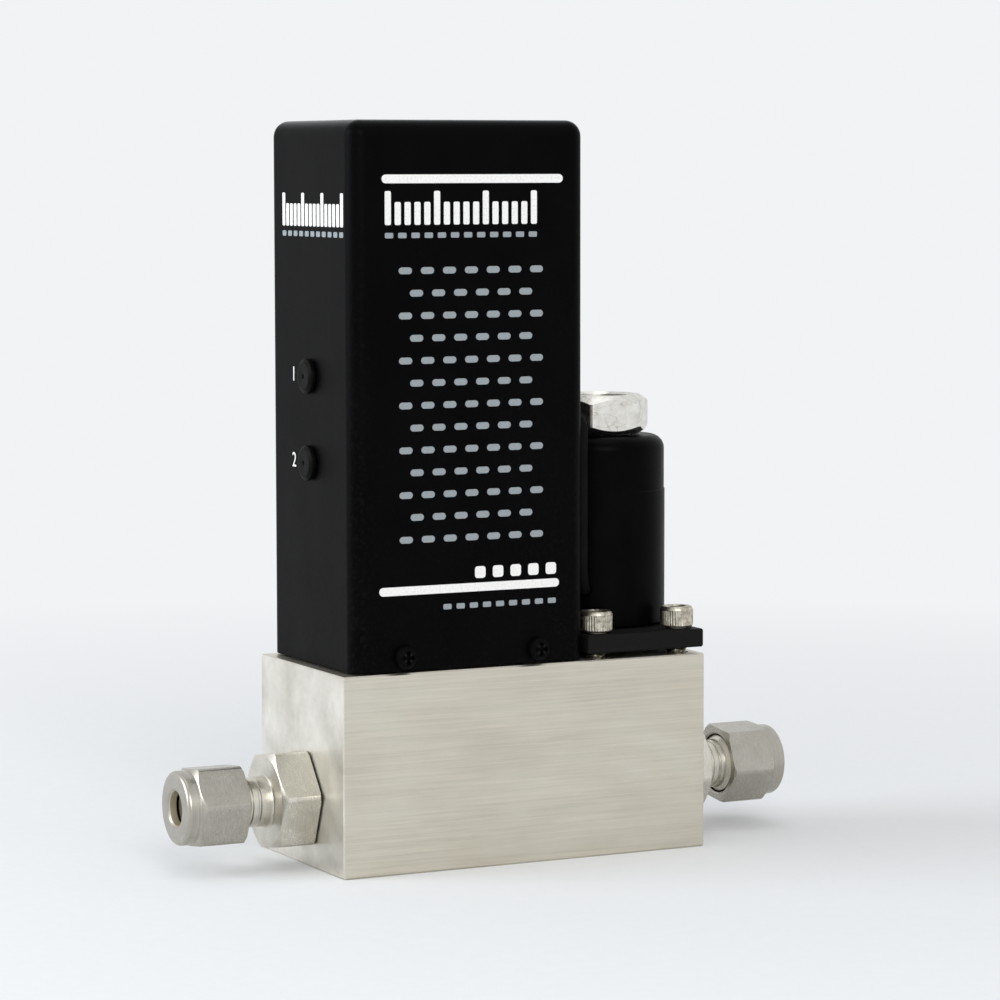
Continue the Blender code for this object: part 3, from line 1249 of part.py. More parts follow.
def build_valve_stem(model):
    """The stem holds the plunger below and ends in the fixed pole and the nut's thread."""
    flange_top = BLOCK_HEIGHT - SEAT_GAP
    flange_bottom = flange_top - STEM_FLANGE_THICKNESS
    flange = CAVITY / 2 - BORE_GAP
    tube = STEM_TUBE / 2
    skirt = CAVITY / 2 - STEM_SEAL - 2 * SEAL_GAP
    skirt_bottom = flange_bottom - STEM_SEAL - 2 * SEAL_GAP
    bore = STEM_BORE / 2
    end = VALVE_NUT_TOP - STEM_END_RECESS
    dimple = STEM_DIMPLE / 2
    dimple_floor = end - STEM_DIMPLE_DEPTH
    outline = [
        (0, dimple_floor),
        (dimple, dimple_floor),
        (dimple + EDGE_BREAK, end),
        (tube - EDGE_BREAK, end),
        (tube, end - EDGE_BREAK),
        (tube, flange_top),
        (flange, flange_top),
        (flange, flange_bottom),
        (skirt, flange_bottom),
        (skirt, skirt_bottom),
        (bore, skirt_bottom),
        (bore, POLE_FACE),
        (0, POLE_FACE),
    ]
    mesh = turned_mesh("valve_stem", outline, ROUND_SEGMENTS)
    model.part("valve_stem", mesh, TURNED_STAINLESS, at(VALVE_X, 0, 0))
    middle = 2 * skirt + STEM_SEAL + 2 * SEAL_GAP
    seal = ring_mesh("stem_seal", middle, STEM_SEAL)
    height = flange_bottom - SEAL_GAP - STEM_SEAL / 2
    model.part("stem_seal", seal, BLACK_RUBBER, at(VALVE_X, 0, height))


def build_seat(model):
    """The replaceable orifice: a turned insert with a raised nozzle."""
    outside = SEAT_BORE / 2
    bottom = CAVITY_FLOOR - SEAT_BORE_DEPTH + SEAT_GAP
    outline = [
        (ORIFICE / 2, NOZZLE_TOP),
        (NOZZLE / 2 - EDGE_BREAK, NOZZLE_TOP),
        (NOZZLE / 2, NOZZLE_TOP - 2 * EDGE_BREAK),
        (NOZZLE / 2, CAVITY_FLOOR + EDGE_BREAK),
        (outside, CAVITY_FLOOR),
        (outside, bottom),
        (outside - 2 * EDGE_BREAK, bottom),
        (ORIFICE / 2, CAVITY_FLOOR - EDGE_BREAK),
    ]
    mesh = turned_mesh("valve_seat", outline, SMALL_SEGMENTS, closed=True)
    model.part("valve_seat", mesh, TURNED_STAINLESS, at(VALVE_X, 0, 0))


def build_plunger(model):
    """The sliding plunger, with flow grooves down its side and a spring pocket on top."""
    radius = PLUNGER / 2
    pocket = SPRING / 2 + BORE_GAP
    pocket_floor = POLE_FACE - SEAT_GAP - SPRING_LENGTH - SEAT_GAP
    height = PLUNGER_TOP - PLUNGER_BOTTOM
    outline = [
        (0, pocket_floor - PLUNGER_BOTTOM),
        (pocket, pocket_floor - PLUNGER_BOTTOM),
        (pocket, height),
        (radius - EDGE_BREAK, height),
        (radius, height - EDGE_BREAK),
        (radius, PLUNGER_CONE_LENGTH),
        (radius - PLUNGER_CONE, 0),
        (0, 0),
    ]
    place = at(VALVE_X, 0, PLUNGER_BOTTOM)
    mesh = turned_mesh("valve_plunger", outline, ROUND_SEGMENTS)
    plunger = model.part("valve_plunger", mesh, TURNED_STAINLESS, place)
    for turn in (0, 120, 240):
        groove = box_mesh("flow groove", PLUNGER_GROOVE, PLUNGER_GROOVE, height + 2 * OVERRUN)
        spin = Matrix.Rotation(math.radians(turn), 4, "Z")
        model.cut(plunger, groove, place @ spin @ at(radius, 0, height / 2))


def build_spring(model):
    """The closing spring between the fixed pole and the plunger's pocket."""
    radius = (SPRING - SPRING_WIRE) / 2
    bottom = POLE_FACE - SEAT_GAP - SPRING_LENGTH + SPRING_WIRE / 2
    climb = SPRING_LENGTH - SPRING_WIRE
    count = SPRING_TURNS * SPRING_POINTS_PER_TURN
    points = []
    for index in range(count + 1):
        angle = 2 * math.pi * index / SPRING_POINTS_PER_TURN
        z = bottom + climb * index / count
        points.append((radius * math.cos(angle), radius * math.sin(angle), z))
    mesh = tube_mesh("plunger_spring", points, SPRING_WIRE)
    model.part("plunger_spring", mesh, PLATED_STEEL, at(VALVE_X, 0, 0))


def build_coil(model):
    """The coil's black shell, with the wound bobbin inside."""
    radius = COIL / 2
    bore = STEM_TUBE / 2 + BORE_GAP
    inside = radius - COIL_WALL
    ceiling = COIL_TOP - COIL_WALL
    rim = []
    for step in range(4):
        angle = math.pi / 2 * step / 3
        x = radius - COIL_WRAP - COIL_RIM + COIL_RIM * math.sin(angle)
        rim.append((x, COIL_TOP - COIL_RIM + COIL_RIM * math.cos(angle)))
    outline = [(bore, COIL_TOP), *rim]
    outline += [(radius - COIL_WRAP, COIL_WRAP_TOP), (radius, COIL_WRAP_TOP - COIL_WRAP)]
    outline += [(radius, COIL_BOTTOM), (inside, COIL_BOTTOM)]
    outline += [(inside, ceiling - BOBBIN_INSET), (inside - BOBBIN_INSET, ceiling), (bore, ceiling)]
    mesh = turned_mesh("coil_housing", outline, FINE_SEGMENTS, closed=True)
    housing = model.part("coil_housing", mesh, BLACK_PAINT, at(VALVE_X, 0, 0))
    exit_hole = rod_mesh("lead exit", LEAD + 2 * LEAD_EXIT_GAP, radius, TINY_SEGMENTS)
    model.cut(housing, exit_hole, lead_exit_place())
    top = ceiling - SEAT_GAP
    bottom = COIL_BOTTOM
    spool = inside - BORE_GAP
    wound = COIL_WINDING / 2
    bobbin = [
        (bore, top),
        (spool - BOBBIN_INSET, top),
        (spool - BOBBIN_INSET, top - BOBBIN_FLANGE),
        (wound, top - BOBBIN_FLANGE),
        (wound, bottom + BOBBIN_FLANGE),
        (spool - BOBBIN_INSET, bottom + BOBBIN_FLANGE),
        (spool - BOBBIN_INSET, bottom),
        (bore, bottom),
    ]
    model.part("valve_coil", turned_mesh("valve_coil", bobbin, closed=True), COPPER_WIRE, at(VALVE_X, 0, 0))


def lead_place():
    """Plan position of the lead's upright run, in the corner between can and coil."""
    return Vector((LEAD_X, LEAD_FRONT))


def lead_outward():
    """Unit vector in plan from the valve's axis to the lead."""
    away = lead_place() - Vector((VALVE_X, 0))
    return away.normalized()


def lead_exit_place():
    out = lead_outward()
    start = Vector((VALVE_X, 0)) + out * (COIL / 2 - COIL_WALL - OVERRUN)
    return at(start.x, start.y, LEAD_EXIT_HEIGHT) @ facing((out.x, out.y, 0))


def build_lead(model):
    """The coil's lead leaves its side, rises beside it and goes through the can's wall."""
    out = lead_outward()
    axis = Vector((VALVE_X, 0))
    start = axis + out * (COIL_WINDING / 2 + SEAT_GAP)
    wall = axis + out * (COIL / 2 + 0.6)
    up = lead_place()
    low = LEAD_EXIT_HEIGHT
    high = LEAD_ENTRY_HEIGHT
    inside = CAN_RIGHT - CAN_WALL
    board_end = CAN_MIDDLE + BOARD_LENGTH / 2
    route = [
        Vector((start.x, start.y, low)),
        Vector((wall.x, wall.y, low + 0.3)),
        Vector((up.x, up.y, low + 4.0)),
        Vector((up.x, up.y, low + 10)),
        Vector((up.x, up.y, high - 8)),
        Vector((up.x, up.y, high - 3.0)),
        Vector((up.x - 0.2, LEAD_FRONT, high - 1.4)),
        Vector((up.x - 0.8, LEAD_FRONT, high - 0.4)),
        Vector((CAN_RIGHT + 1.3, LEAD_FRONT, high - 0.03)),
        Vector((CAN_RIGHT + 0.7, LEAD_FRONT, high)),
        Vector((CAN_RIGHT - 0.6, LEAD_FRONT, high)),
        Vector((inside - 1.2, LEAD_FRONT, high)),
        Vector((inside - 2.4, LEAD_FRONT + 0.2, high)),
        Vector((board_end - 2.2, LEAD_FRONT + 4.0, high + 0.4)),
        Vector((board_end - 3.5, -LEAD / 2, high + 0.6)),
        Vector((board_end - 3.5, BOARD_FACE, high + 0.6)),
    ]
    points = smooth_route(route, LEAD_BEND_POINTS)
    model.part("coil_lead", tube_mesh("coil_lead", points, LEAD), BLACK_RUBBER)
    build_grommet(model)


def build_grommet(model):
    bore = LEAD / 2 + RUNNING_GAP
    waist = GROMMET_WAIST / 2
    lip = waist + GROMMET_LIP
    outer = SEAT_GAP
    inner = -CAN_WALL - SEAT_GAP
    outline = [
        (bore, outer + GROMMET_LIP_THICKNESS),
        (lip - 0.3, outer + GROMMET_LIP_THICKNESS),
        (lip, outer),
        (waist, outer),
        (waist, inner),
        (lip, inner),
        (lip - 0.3, inner - GROMMET_LIP_THICKNESS),
        (bore, inner - GROMMET_LIP_THICKNESS),
    ]
    mesh = turned_mesh("lead_grommet", outline, SMALL_SEGMENTS, closed=True)
    place = at(CAN_RIGHT, LEAD_FRONT, LEAD_ENTRY_HEIGHT) @ facing((1, 0, 0))
    model.part("lead_grommet", mesh, BLACK_RUBBER, place)


def build_valve_nut(model):
    """The nut that clamps the coil on the stem: hexagon with turned chamfers."""
    corner = VALVE_NUT_HEX / 2 / math.cos(math.pi / 6)
    bore = STEM_TUBE / 2 + BORE_GAP
    outline = [
        (bore + EDGE_BREAK, VALVE_NUT_TOP),
        (VALVE_NUT_HEX / 2 - EDGE_BREAK, VALVE_NUT_TOP),
        (corner, VALVE_NUT_TOP - VALVE_NUT_CHAMFER),
        (corner, VALVE_NUT_BOTTOM + VALVE_NUT_CHAMFER * 0.7),
        (VALVE_NUT_HEX / 2, VALVE_NUT_BOTTOM),
        (bore, VALVE_NUT_BOTTOM),
        (bore, VALVE_NUT_TOP - EDGE_BREAK),
    ]
    mesh = turned_mesh("valve_nut", outline, ROUND_SEGMENTS, closed=True)
    place = at(VALVE_X, 0, 0) @ facing((0, 0, 1), VALVE_NUT_TURN)
    nut = model.part("valve_nut", mesh, PLATED_STEEL, place)
    bar = hexagon_mesh("valve nut hexagon", VALVE_NUT_HEX, VALVE_NUT_HEIGHT + 2 * OVERRUN)
    model.keep(nut, bar, place @ at(0, 0, VALVE_NUT_BOTTOM - OVERRUN))


def main():
    clear_scene()
    model = Model("mass_flow_controller")
    build_flow_block(model)
    build_fitting(model, "inlet", -1, INLET_BODY_TURN, INLET_NUT_TURN)
    build_fitting(model, "outlet", 1, OUTLET_BODY_TURN, OUTLET_NUT_TURN)
    build_laminar_element(model)
    build_sensor(model)
    build_bracket(model)
    build_board(model)
    build_trimmer(model, "span", SPAN_HEIGHT)
    build_trimmer(model, "zero", ZERO_HEIGHT)
    build_board_parts(model)
    build_can(model)
    build_can_screws(model)
    build_plug(model, "span_plug", SPAN_HEIGHT)
    build_plug(model, "zero_plug", ZERO_HEIGHT)
    build_valve_mount(model)
    build_valve_stem(model)
    build_seat(model)
    build_plunger(model)
    build_spring(model)
    build_coil(model)
    build_valve_nut(model)
    build_lead(model)


if __name__ == "__main__":
    main()
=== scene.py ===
"""Finishes and fine meshes of a thermal mass flow controller, laid out as a Blender add-on.

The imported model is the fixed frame, in metres: its origin is the middle of the flow block's
underside, X runs along the flow, -Y is the front and +Z is up. Turned, formed and printed
pieces are built here in fine meshes, and every other piece gets its finish. Shapes and the
grain of finishes are given in millimetres.
"""

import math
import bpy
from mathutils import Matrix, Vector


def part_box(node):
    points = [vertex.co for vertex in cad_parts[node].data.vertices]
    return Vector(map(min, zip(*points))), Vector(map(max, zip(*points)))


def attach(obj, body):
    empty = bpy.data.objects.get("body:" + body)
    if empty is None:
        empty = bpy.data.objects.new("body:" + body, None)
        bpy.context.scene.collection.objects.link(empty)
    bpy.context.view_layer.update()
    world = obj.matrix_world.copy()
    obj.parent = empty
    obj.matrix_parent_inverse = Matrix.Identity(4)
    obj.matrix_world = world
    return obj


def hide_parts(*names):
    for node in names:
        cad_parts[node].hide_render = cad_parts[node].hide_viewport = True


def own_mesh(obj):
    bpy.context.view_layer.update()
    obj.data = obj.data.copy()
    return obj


bl_info = {
    "name": "Mass flow controller finishes",
    "version": (1, 0, 0),
    "blender": (4, 5, 0),
    "location": "3D View > Sidebar > Flow Controller",
    "description": "Builds the finishes and fine meshes of a thermal mass flow controller",
    "category": "Object",
}

import bmesh
import bpy
from bpy.props import FloatProperty, FloatVectorProperty, IntProperty, PointerProperty
from mathutils import Matrix, Vector

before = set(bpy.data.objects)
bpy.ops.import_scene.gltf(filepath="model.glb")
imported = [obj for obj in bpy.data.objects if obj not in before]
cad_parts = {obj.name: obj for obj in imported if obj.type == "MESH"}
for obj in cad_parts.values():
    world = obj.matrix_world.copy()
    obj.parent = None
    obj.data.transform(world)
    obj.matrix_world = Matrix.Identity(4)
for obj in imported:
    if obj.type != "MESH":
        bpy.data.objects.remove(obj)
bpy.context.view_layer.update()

MM = 0.001
TURN = 2 * math.pi

# Points that are nearer to each other than this are merged
MERGE = 0.002
BODY = "controller"
UP = (0, 0, 1)
PLUGS = ("span_plug", "zero_plug")
CAN_SCREWS = tuple(f"can_screw_{number}" for number in range(1, 5))


def box(node):
    """The low and high corners of a frame's node, in millimetres."""
    low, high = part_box(node)
    return low / MM, high / MM


def middle_of(node):
    low, high = box(node)
    return (low + high) / 2


# Places taken from the frame
BLOCK_LOW, BLOCK_HIGH = box("flow_block")
CAN_LOW, CAN_HIGH = box("can")
COIL_LOW, COIL_HIGH = box("coil_housing")
VALVE_NUT_LOW, VALVE_NUT_HIGH = box("valve_nut")
STEM_LOW, STEM_HIGH = box("valve_stem")
SPRING_LOW, SPRING_HIGH = box("plunger_spring")
BOARD_LOW, BOARD_HIGH = box("circuit_board")
VALVE_X = middle_of("coil_housing").x
CAN_X = middle_of("can").x
PORT_Z = middle_of("inlet_nut").z

# Sizes that the frame's boxes don't give. The window's are length, depth and corner radius,
# and a screw head's are diameter and height.
RUNNING_GAP = 0.3
EDGE_BREAK = 0.4
WINDOW = (40.0, 14.0, 2.0)
HOLE_EASE = 0.2
PLUG_HOLE = 5.4
SCREW_HOLE = 3.4
LEAD_HOLE = 2.9
GROMMET_HOLE = 5.3
GROMMET_LIP = 1.0
CAN_SCREW_HEAD = (4.4, 1.5)
PAN_HEAD = (5.0, 2.0)
CROSS_WIDTH = 0.7
CROSS_REACH = 1.3
CROSS_DEPTH = 0.8
PLUG_SHANK = 4.8
PLUG_WALL = 1.0
PLUG_BARB = 0.35
COIL_WALL = 1.4
COIL_RIM = 2.6
COIL_WRAP = 0.15
COIL_WRAP_DROP = 10.4
STEM_BORE = 8.8
STEM_DIMPLE = 7.0
STEM_DIMPLE_DEPTH = 1.2
STEM_FLANGE = 16.4
STEM_SKIRT_STEP = 1.84
STEM_FLANGE_THICKNESS = 3.2
STEM_FLANGE_TOP = BLOCK_HIGH.z - RUNNING_GAP
VALVE_NUT_HEX = 17.5
VALVE_NUT_CHAMFER = 2.4
VALVE_NUT_CHAMFER_DROP = 1.68
VALVE_NUT_TURN = -37.2
SPRING_WIRE = 0.6
SPRING_TURNS = 5
SPRING_CLOSED_PITCH = 1.05 * SPRING_WIRE
SOCKET_HEX = 3.4
SOCKET_MOUTH = 4.012
SOCKET_DEPTH = 2.0
SOCKET_HEAD_HEIGHT = 3.9
KNURL_TOP = 3.15
KNURL_FOOT = 0.5
WINDING_CORE = 0.65

# Threads: outer diameter, depth and pitch
PAN_THREAD = (2.8, 0.22, 0.5)
NUT_THREAD = (11.1, 0.35, 1.27)
STUD_THREAD = (14.29, 0.5, 1.41)
STEM_THREAD = (12.0, 0.4, 1.0)
SOCKET_THREAD = (4.0, 0.3, 0.7)
WINDING_DEPTH = 0.1
WINDING_PITCH = 0.3

# Compression fittings, measured outwards from the block's end face. Their hexagons' turns are
# in degrees, for the inlet's side and the outlet's.
TUBE_BORE = 6.55
THROUGH_BORE = 4.8
STUD_LENGTH = 9.9
UNDERCUT = 11.8
PORT_MOUTH = 2.4
BODY_HEX = 17.46
BODY_HEX_START = 0.3
BODY_HEX_END = 7.7
NECK = 9.4
NECK_GROOVE = 0.22
NECK_RINGS = (12.0, 10.4)
NECK_END = 13.9
BODY_FRONT = 20.1
TUBE_SHOULDER = 10.4
NUT_HEX = 14.29
NUT_START = 13.5
NUT_COLLAR = 13.9
NUT_COLLAR_START = 23.1
FITTING_REACH = 25.7
FERRULE_SHOULDER = 23.56
BODY_TURNS = {-1: -9.0, 1: 8.0}
NUT_TURNS = {-1: -6.0, 1: 7.0}

# Facets of round pieces, of helical threads and of bends
ROUND_STEPS = 96
HEXAGON_STEPS = 384
SCREW_STEPS = 48
SEAL_STEPS = 18
EASE_STEPS = 5
THREAD_POINTS = 5
SPRING_STEPS = 32
LEAD_STEPS = 8
HEX_CORNER_EASE = 0.2
SHARP_ANGLE = math.radians(32)


def hex_colour(code):
    """A linear RGBA colour from an sRGB hex code."""
    channels = []
    for start in (1, 3, 5):
        value = int(code[start : start + 2], 16) / 255
        low = value <= 0.04045
        channels.append(value / 12.92 if low else ((value + 0.055) / 1.055) ** 2.4)
    return (*channels, 1.0)


def length_option(name, default, description):
    """A length that a user may change. Its default is in millimetres, its value in metres."""
    return FloatProperty(name=name, description=description, default=default * MM, unit="LENGTH")


def count_option(name, default, least, description):
    return IntProperty(name=name, description=description, default=default, min=least)


def colour_option(name, code, description):
    return FloatVectorProperty(
        name=name, description=description, subtype="COLOR", size=4, default=hex_colour(code), min=0, max=1
    )


class ControllerSizes(bpy.types.PropertyGroup):
    """Sizes of the looks that a user may want to change."""

    can_edge: length_option("Can edge", 3.0, "Radius of the can's drawn edges")
    can_wall: length_option("Can wall", 1.3, "Thickness of the can's sheet")
    ink: length_option("Ink", 0.05, "Thickness of the printed ink")
    bar_length: length_option("Bar length", 37.25, "Length of the two printed bars")
    bar_height: length_option("Bar height", 1.6, "Height of the two printed bars")
    dash_length: length_option("Dash length", 2.7, "Length of one grey dash")
    dash_height: length_option("Dash height", 1.25, "Height of one grey dash")
    dash_rows: count_option("Dash rows", 13, 2, "Rows in the grey field")
    numeral_height: length_option("Numeral height", 2.8, "Height of the plug numbers")
    knurl_depth: length_option("Knurl depth", 0.14, "Depth of the socket screws' knurl")
    knurl_teeth: count_option("Knurl teeth", 40, 12, "Teeth round a socket screw's head")
    lead: length_option("Lead", 2.4, "Diameter of the coil's lead")


class ControllerColours(bpy.types.PropertyGroup):
    """Colours that a user may want to change."""

    paint: colour_option("Paint", "#030304", "Stoved enamel of the can")
    print_white: colour_option("White ink", "#f6f6f4", "White screen ink")
    print_grey: colour_option("Grey ink", "#969ea2", "Grey screen ink")
    steel: colour_option("Block steel", "#d7d0c0", "Ground stainless steel of the block")
    backdrop: colour_option("Backdrop", "#f1f3f5", "Pale floor and background")


def size(name):
    """One of the lengths above, in millimetres."""
    return getattr(bpy.context.scene.controller_sizes, name) / MM


def chosen(name):
    """One of the colours above."""
    return tuple(getattr(bpy.context.scene.controller_colours, name))


# Mesh tools


def placed(point, direction=UP, turn=0.0):
    """A frame at a point whose +Z looks along a direction, turned about it in degrees."""
    aim = Vector(direction).to_track_quat("Z", "Y").to_matrix().to_4x4()
    return Matrix.Translation(Vector(point)) @ aim @ Matrix.Rotation(math.radians(turn), 4, "Z")


def wall(point, turn=0.0):
    """A frame on an upright face: its +X runs right, its +Y up and its +Z out. Unturned, it
    looks to the front."""
    heading = Matrix.Rotation(math.radians(turn), 4, "Z") @ Matrix.Rotation(TURN / 4, 4, "X")
    return Matrix.Translation(Vector(point)) @ heading


def eased(corners):
    """An outline of (radius, height) points. A third number rounds that corner."""
    outline = []
    for index, corner in enumerate(corners):
        here = Vector(corner[:2])
        if len(corner) == 2:
            outline.append(tuple(here))
            continue
        before = (Vector(corners[index - 1][:2]) - here).normalized()
        after = (Vector(corners[(index + 1) % len(corners)][:2]) - here).normalized()
        half = before.angle(after) / 2
        centre = here + (before + after).normalized() * corner[2] / math.sin(half)
        reach = corner[2] / math.tan(half)
        start = here + before * reach - centre
        stop = here + after * reach - centre
        for step in range(EASE_STEPS + 1):
            spoke = start.lerp(stop, step / EASE_STEPS).normalized() * corner[2]
            outline.append(tuple(centre + spoke))
    return outline


def lathed(column, steps=ROUND_STEPS, closed=True):
    """A skin round Z. column(angle) gives the outline there, always with as many points."""
    bm = bmesh.new()
    rows = []
    for index in range(steps):
        angle = TURN * index / steps
        spoke = Vector((math.cos(angle), math.sin(angle), 0))
        rows.append([bm.verts.new(spoke * r + Vector((0, 0, z))) for r, z in column(angle)])
    for row, following in zip(rows, rows[1:] + rows[:1]):
        for index in range(len(row) if closed else len(row) - 1):
            other = (index + 1) % len(row)
            bm.faces.new((row[index], row[other], following[other], following[index]))
    return cleaned(bm)


def turned(outline, steps=ROUND_STEPS, closed=True):
    return lathed(lambda angle: outline, steps, closed)


def cleaned(bm):
    bmesh.ops.remove_doubles(bm, verts=bm.verts, dist=MERGE)
    bmesh.ops.dissolve_degenerate(bm, edges=bm.edges, dist=MERGE)
    bmesh.ops.recalc_face_normals(bm, faces=bm.faces)
    return bm


def corner_distance(across):
    """Distance from a hexagon's axis to its sharp corners."""
    return across / 2 / math.cos(TURN / 12)


def flat_distance(angle, across):
    """Distance from the axis to a hexagon bar's surface. A flat faces local +X."""
    from_flat = (angle + TURN / 12) % (TURN / 6) - TURN / 12
    return min(across / 2 / math.cos(from_flat), corner_distance(across) - HEX_CORNER_EASE)


def hexagon_cut(outline, across, angle):
    """The outline at one angle after a hexagon bar's flats have limited it."""
    flat = flat_distance(angle, across)
    corner = corner_distance(across)
    column = []
    for (r0, z0), (r1, z1) in zip(outline, outline[1:] + outline[:1]):
        column.append((min(r0, flat), z0))
        if abs(r1 - r0) > MERGE and min(r0, r1) < corner and max(r0, r1) > across / 2:
            share = min(max((flat - r0) / (r1 - r0), 0.0), 1.0)
            column.append((min(r0 + (r1 - r0) * share, flat), z0 + (z1 - z0) * share))
    return column


def thread(start, end, form, angle):
    """Points down a helical thread between two heights, seen at one angle round it."""
    diameter, depth, pitch = form
    steps = round(abs(end - start) / pitch * THREAD_POINTS)
    points = []
    for index in range(steps + 1):
        height = start + (end - start) * index / steps
        phase = (height / pitch - angle / TURN) % 1.0
        fade = min(index, steps - index, THREAD_POINTS) / THREAD_POINTS
        points.append((diameter / 2 - depth * fade * abs(2 * phase - 1), height))
    return points


def rounded_bar(width, height, ease, middle=(0.0, 0.0)):
    """The outline of a bar about a middle, with rounded corners."""
    outline = []
    for index, (sx, sy) in enumerate(((1, 1), (-1, 1), (-1, -1), (1, -1))):
        for step in range(EASE_STEPS + 1):
            angle = TURN / 4 * (index + step / EASE_STEPS)
            x = middle[0] + sx * (width / 2 - ease) + ease * math.cos(angle)
            y = middle[1] + sy * (height / 2 - ease) + ease * math.sin(angle)
            outline.append((x, y))
    return outline


def raised(outlines, thickness):
    """Flat outlines in local XY, each raised along +Z."""
    bm = bmesh.new()
    for outline in outlines:
        points = [point for point, last in zip(outline, outline[-1:] + outline) if distant(point, last)]
        face = bm.faces.new([bm.verts.new((x, y, 0)) for x, y in points])
        made = bmesh.ops.extrude_face_region(bm, geom=[face])["geom"]
        lifted = [item for item in made if isinstance(item, bmesh.types.BMVert)]
        bmesh.ops.translate(bm, vec=(0, 0, thickness), verts=lifted)
    bmesh.ops.recalc_face_normals(bm, faces=bm.faces)
    return bm


def distant(point, other):
    return (Vector(point) - Vector(other)).length > MERGE


def block(low, high, ease=0.0):
    """A block between two corners, its edges rounded."""
    bm = bmesh.new()
    bmesh.ops.create_cube(bm, size=1.0)
    low, high = Vector(low), Vector(high)
    bmesh.ops.scale(bm, vec=high - low, verts=bm.verts)
    bmesh.ops.translate(bm, vec=(low + high) / 2, verts=bm.verts)
    if ease:
        bmesh.ops.bevel(bm, geom=bm.edges, offset=ease, segments=3, profile=0.5, affect="EDGES")
    return bm


def joined(meshes):
    """Several bmeshes as one."""
    whole = bmesh.new()
    carrier = bpy.data.meshes.new("carrier")
    for bm in meshes:
        bm.to_mesh(carrier)
        bm.free()
        whole.from_mesh(carrier)
    bpy.data.meshes.remove(carrier)
    return whole


def new_object(name, bm, place=Matrix()):
    """An object at the origin whose mesh holds its place, in metres."""
    mesh = bpy.data.meshes.new(name)
    bm.to_mesh(mesh)
    bm.free()
    mesh.transform(Matrix.Scale(MM, 4) @ place)
    obj = bpy.data.objects.new(name, mesh)
    bpy.context.scene.collection.objects.link(obj)
    return obj


def add_modifier(obj, kind, **settings):
    modifier = obj.modifiers.new(kind.title(), kind)
    for name, value in settings.items():
        setattr(modifier, name, value)


def ease_edges(obj, width, segments, sharper):
    """Rounds the edges that are sharper than an angle in degrees."""
    limit = {"limit_method": "ANGLE", "angle_limit": math.radians(sharper)}
    add_modifier(obj, "BEVEL", width=width * MM, segments=segments, **limit)


def settle(obj, tools=()):
    """Applies an object's modifiers and removes the tools that they used."""
    graph = bpy.context.evaluated_depsgraph_get()
    mesh = bpy.data.meshes.new_from_object(obj.evaluated_get(graph))
    obj.modifiers.clear()
    obj.data = mesh
    for tool in tools:
        bpy.data.objects.remove(tool, do_unlink=True)


def cut(obj, tools):
    """Takes each tool out of an object."""
    for tool in tools:
        add_modifier(obj, "BOOLEAN", operation="DIFFERENCE", solver="EXACT", object=tool)
    settle(obj, tools)


def rod(diameter, point, direction, length, steps=ROUND_STEPS):
    """A cutting tool: a rod from a point along a direction."""
    outline = [(0, 0), (diameter / 2, 0), (diameter / 2, length), (0, length)]
    return new_object("tool", turned(outline, steps, closed=False), placed(point, direction))


def wire(name, points, diameter):
    """A round wire through points, as a mesh."""
    curve = bpy.data.curves.new(name, "CURVE")
    curve.dimensions = "3D"
    curve.bevel_depth = diameter / 2
    curve.bevel_resolution = 6
    curve.use_fill_caps = True
    spline = curve.splines.new("POLY")
    spline.points.add(len(points) - 1)
    for point, place in zip(spline.points, points):
        point.co = (*place, 1)
    return meshed(name, curve)


def meshed(name, curve, place=Matrix()):
    """A curve or text as a mesh object."""
    guide = bpy.data.objects.new(name, curve)
    bpy.context.scene.collection.objects.link(guide)
    graph = bpy.context.evaluated_depsgraph_get()
    mesh = bpy.data.meshes.new_from_object(guide.evaluated_get(graph))
    bpy.data.objects.remove(guide, do_unlink=True)
    bm = bmesh.new()
    bm.from_mesh(mesh)
    bpy.data.meshes.remove(mesh)
    return new_object(name, cleaned(bm), place)


def finish_piece(obj, name, replaces=()):
    """Shades a piece, gives it the finish of that name and ties it to the frame."""
    obj.data.materials.clear()
    obj.data.materials.append(finish(name))
    obj.data.shade_smooth()
    obj.data.set_sharp_from_angle(angle=SHARP_ANGLE)
    add_modifier(obj, "WEIGHTED_NORMAL", keep_sharp=True)
    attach(obj, BODY)
    if replaces:
        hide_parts(*replaces)


def dress(name, *nodes):
    """Gives CAD nodes the finish of that name in place of their plain one."""
    for node in nodes:
        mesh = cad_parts[node].data
        mesh.materials.clear()
        mesh.materials.append(finish(name))


# Finishes

RECIPES = {}

# Most values of a noise lie in this span
SPAN = (0.3, 0.7)

# Distance from band to band in a wave texture whose scale is 1
WAVE_PERIOD = TURN / 20
SOLDER_MASK = {"Coat_Weight": 0.5, "Coat_Roughness": 0.12}


def recipe(make):
    """Enters a recipe under its own name, which its material has too."""
    RECIPES[make.__name__] = make
    return make


def finish(name):
    """The material of that name, made when it is first asked for."""
    if name not in bpy.data.materials:
        RECIPES[name](Look(name))
    return bpy.data.materials[name]


def feed(tree, socket, value):
    """Links a node's output to a socket, or sets the socket's own value. A string is a hex code."""
    if isinstance(value, bpy.types.NodeSocket):
        tree.links.new(value, socket)
    else:
        socket.default_value = hex_colour(value) if isinstance(value, str) else value


def add_node(tree, kind, inputs, output=0, **settings):
    """Adds a shader node with its settings and inputs, and gives back one of its outputs."""
    node = tree.nodes.new("ShaderNode" + kind)
    for name, value in settings.items():
        setattr(node, name, value)
    for socket, value in inputs.items():
        feed(tree, node.inputs[socket], value)
    return node.outputs[output]


def seen_rays(tree):
    """1 for rays that look at the background, straight or through a reflection or glass."""
    path = add_node(tree, "LightPath", {}).node.outputs
    mirrored = {0: path["Is Camera Ray"], 1: path["Is Glossy Ray"]}
    inputs = {0: add_node(tree, "Math", mirrored, operation="MAXIMUM"), 1: path["Is Transmission Ray"]}
    return add_node(tree, "Math", inputs, operation="MAXIMUM")


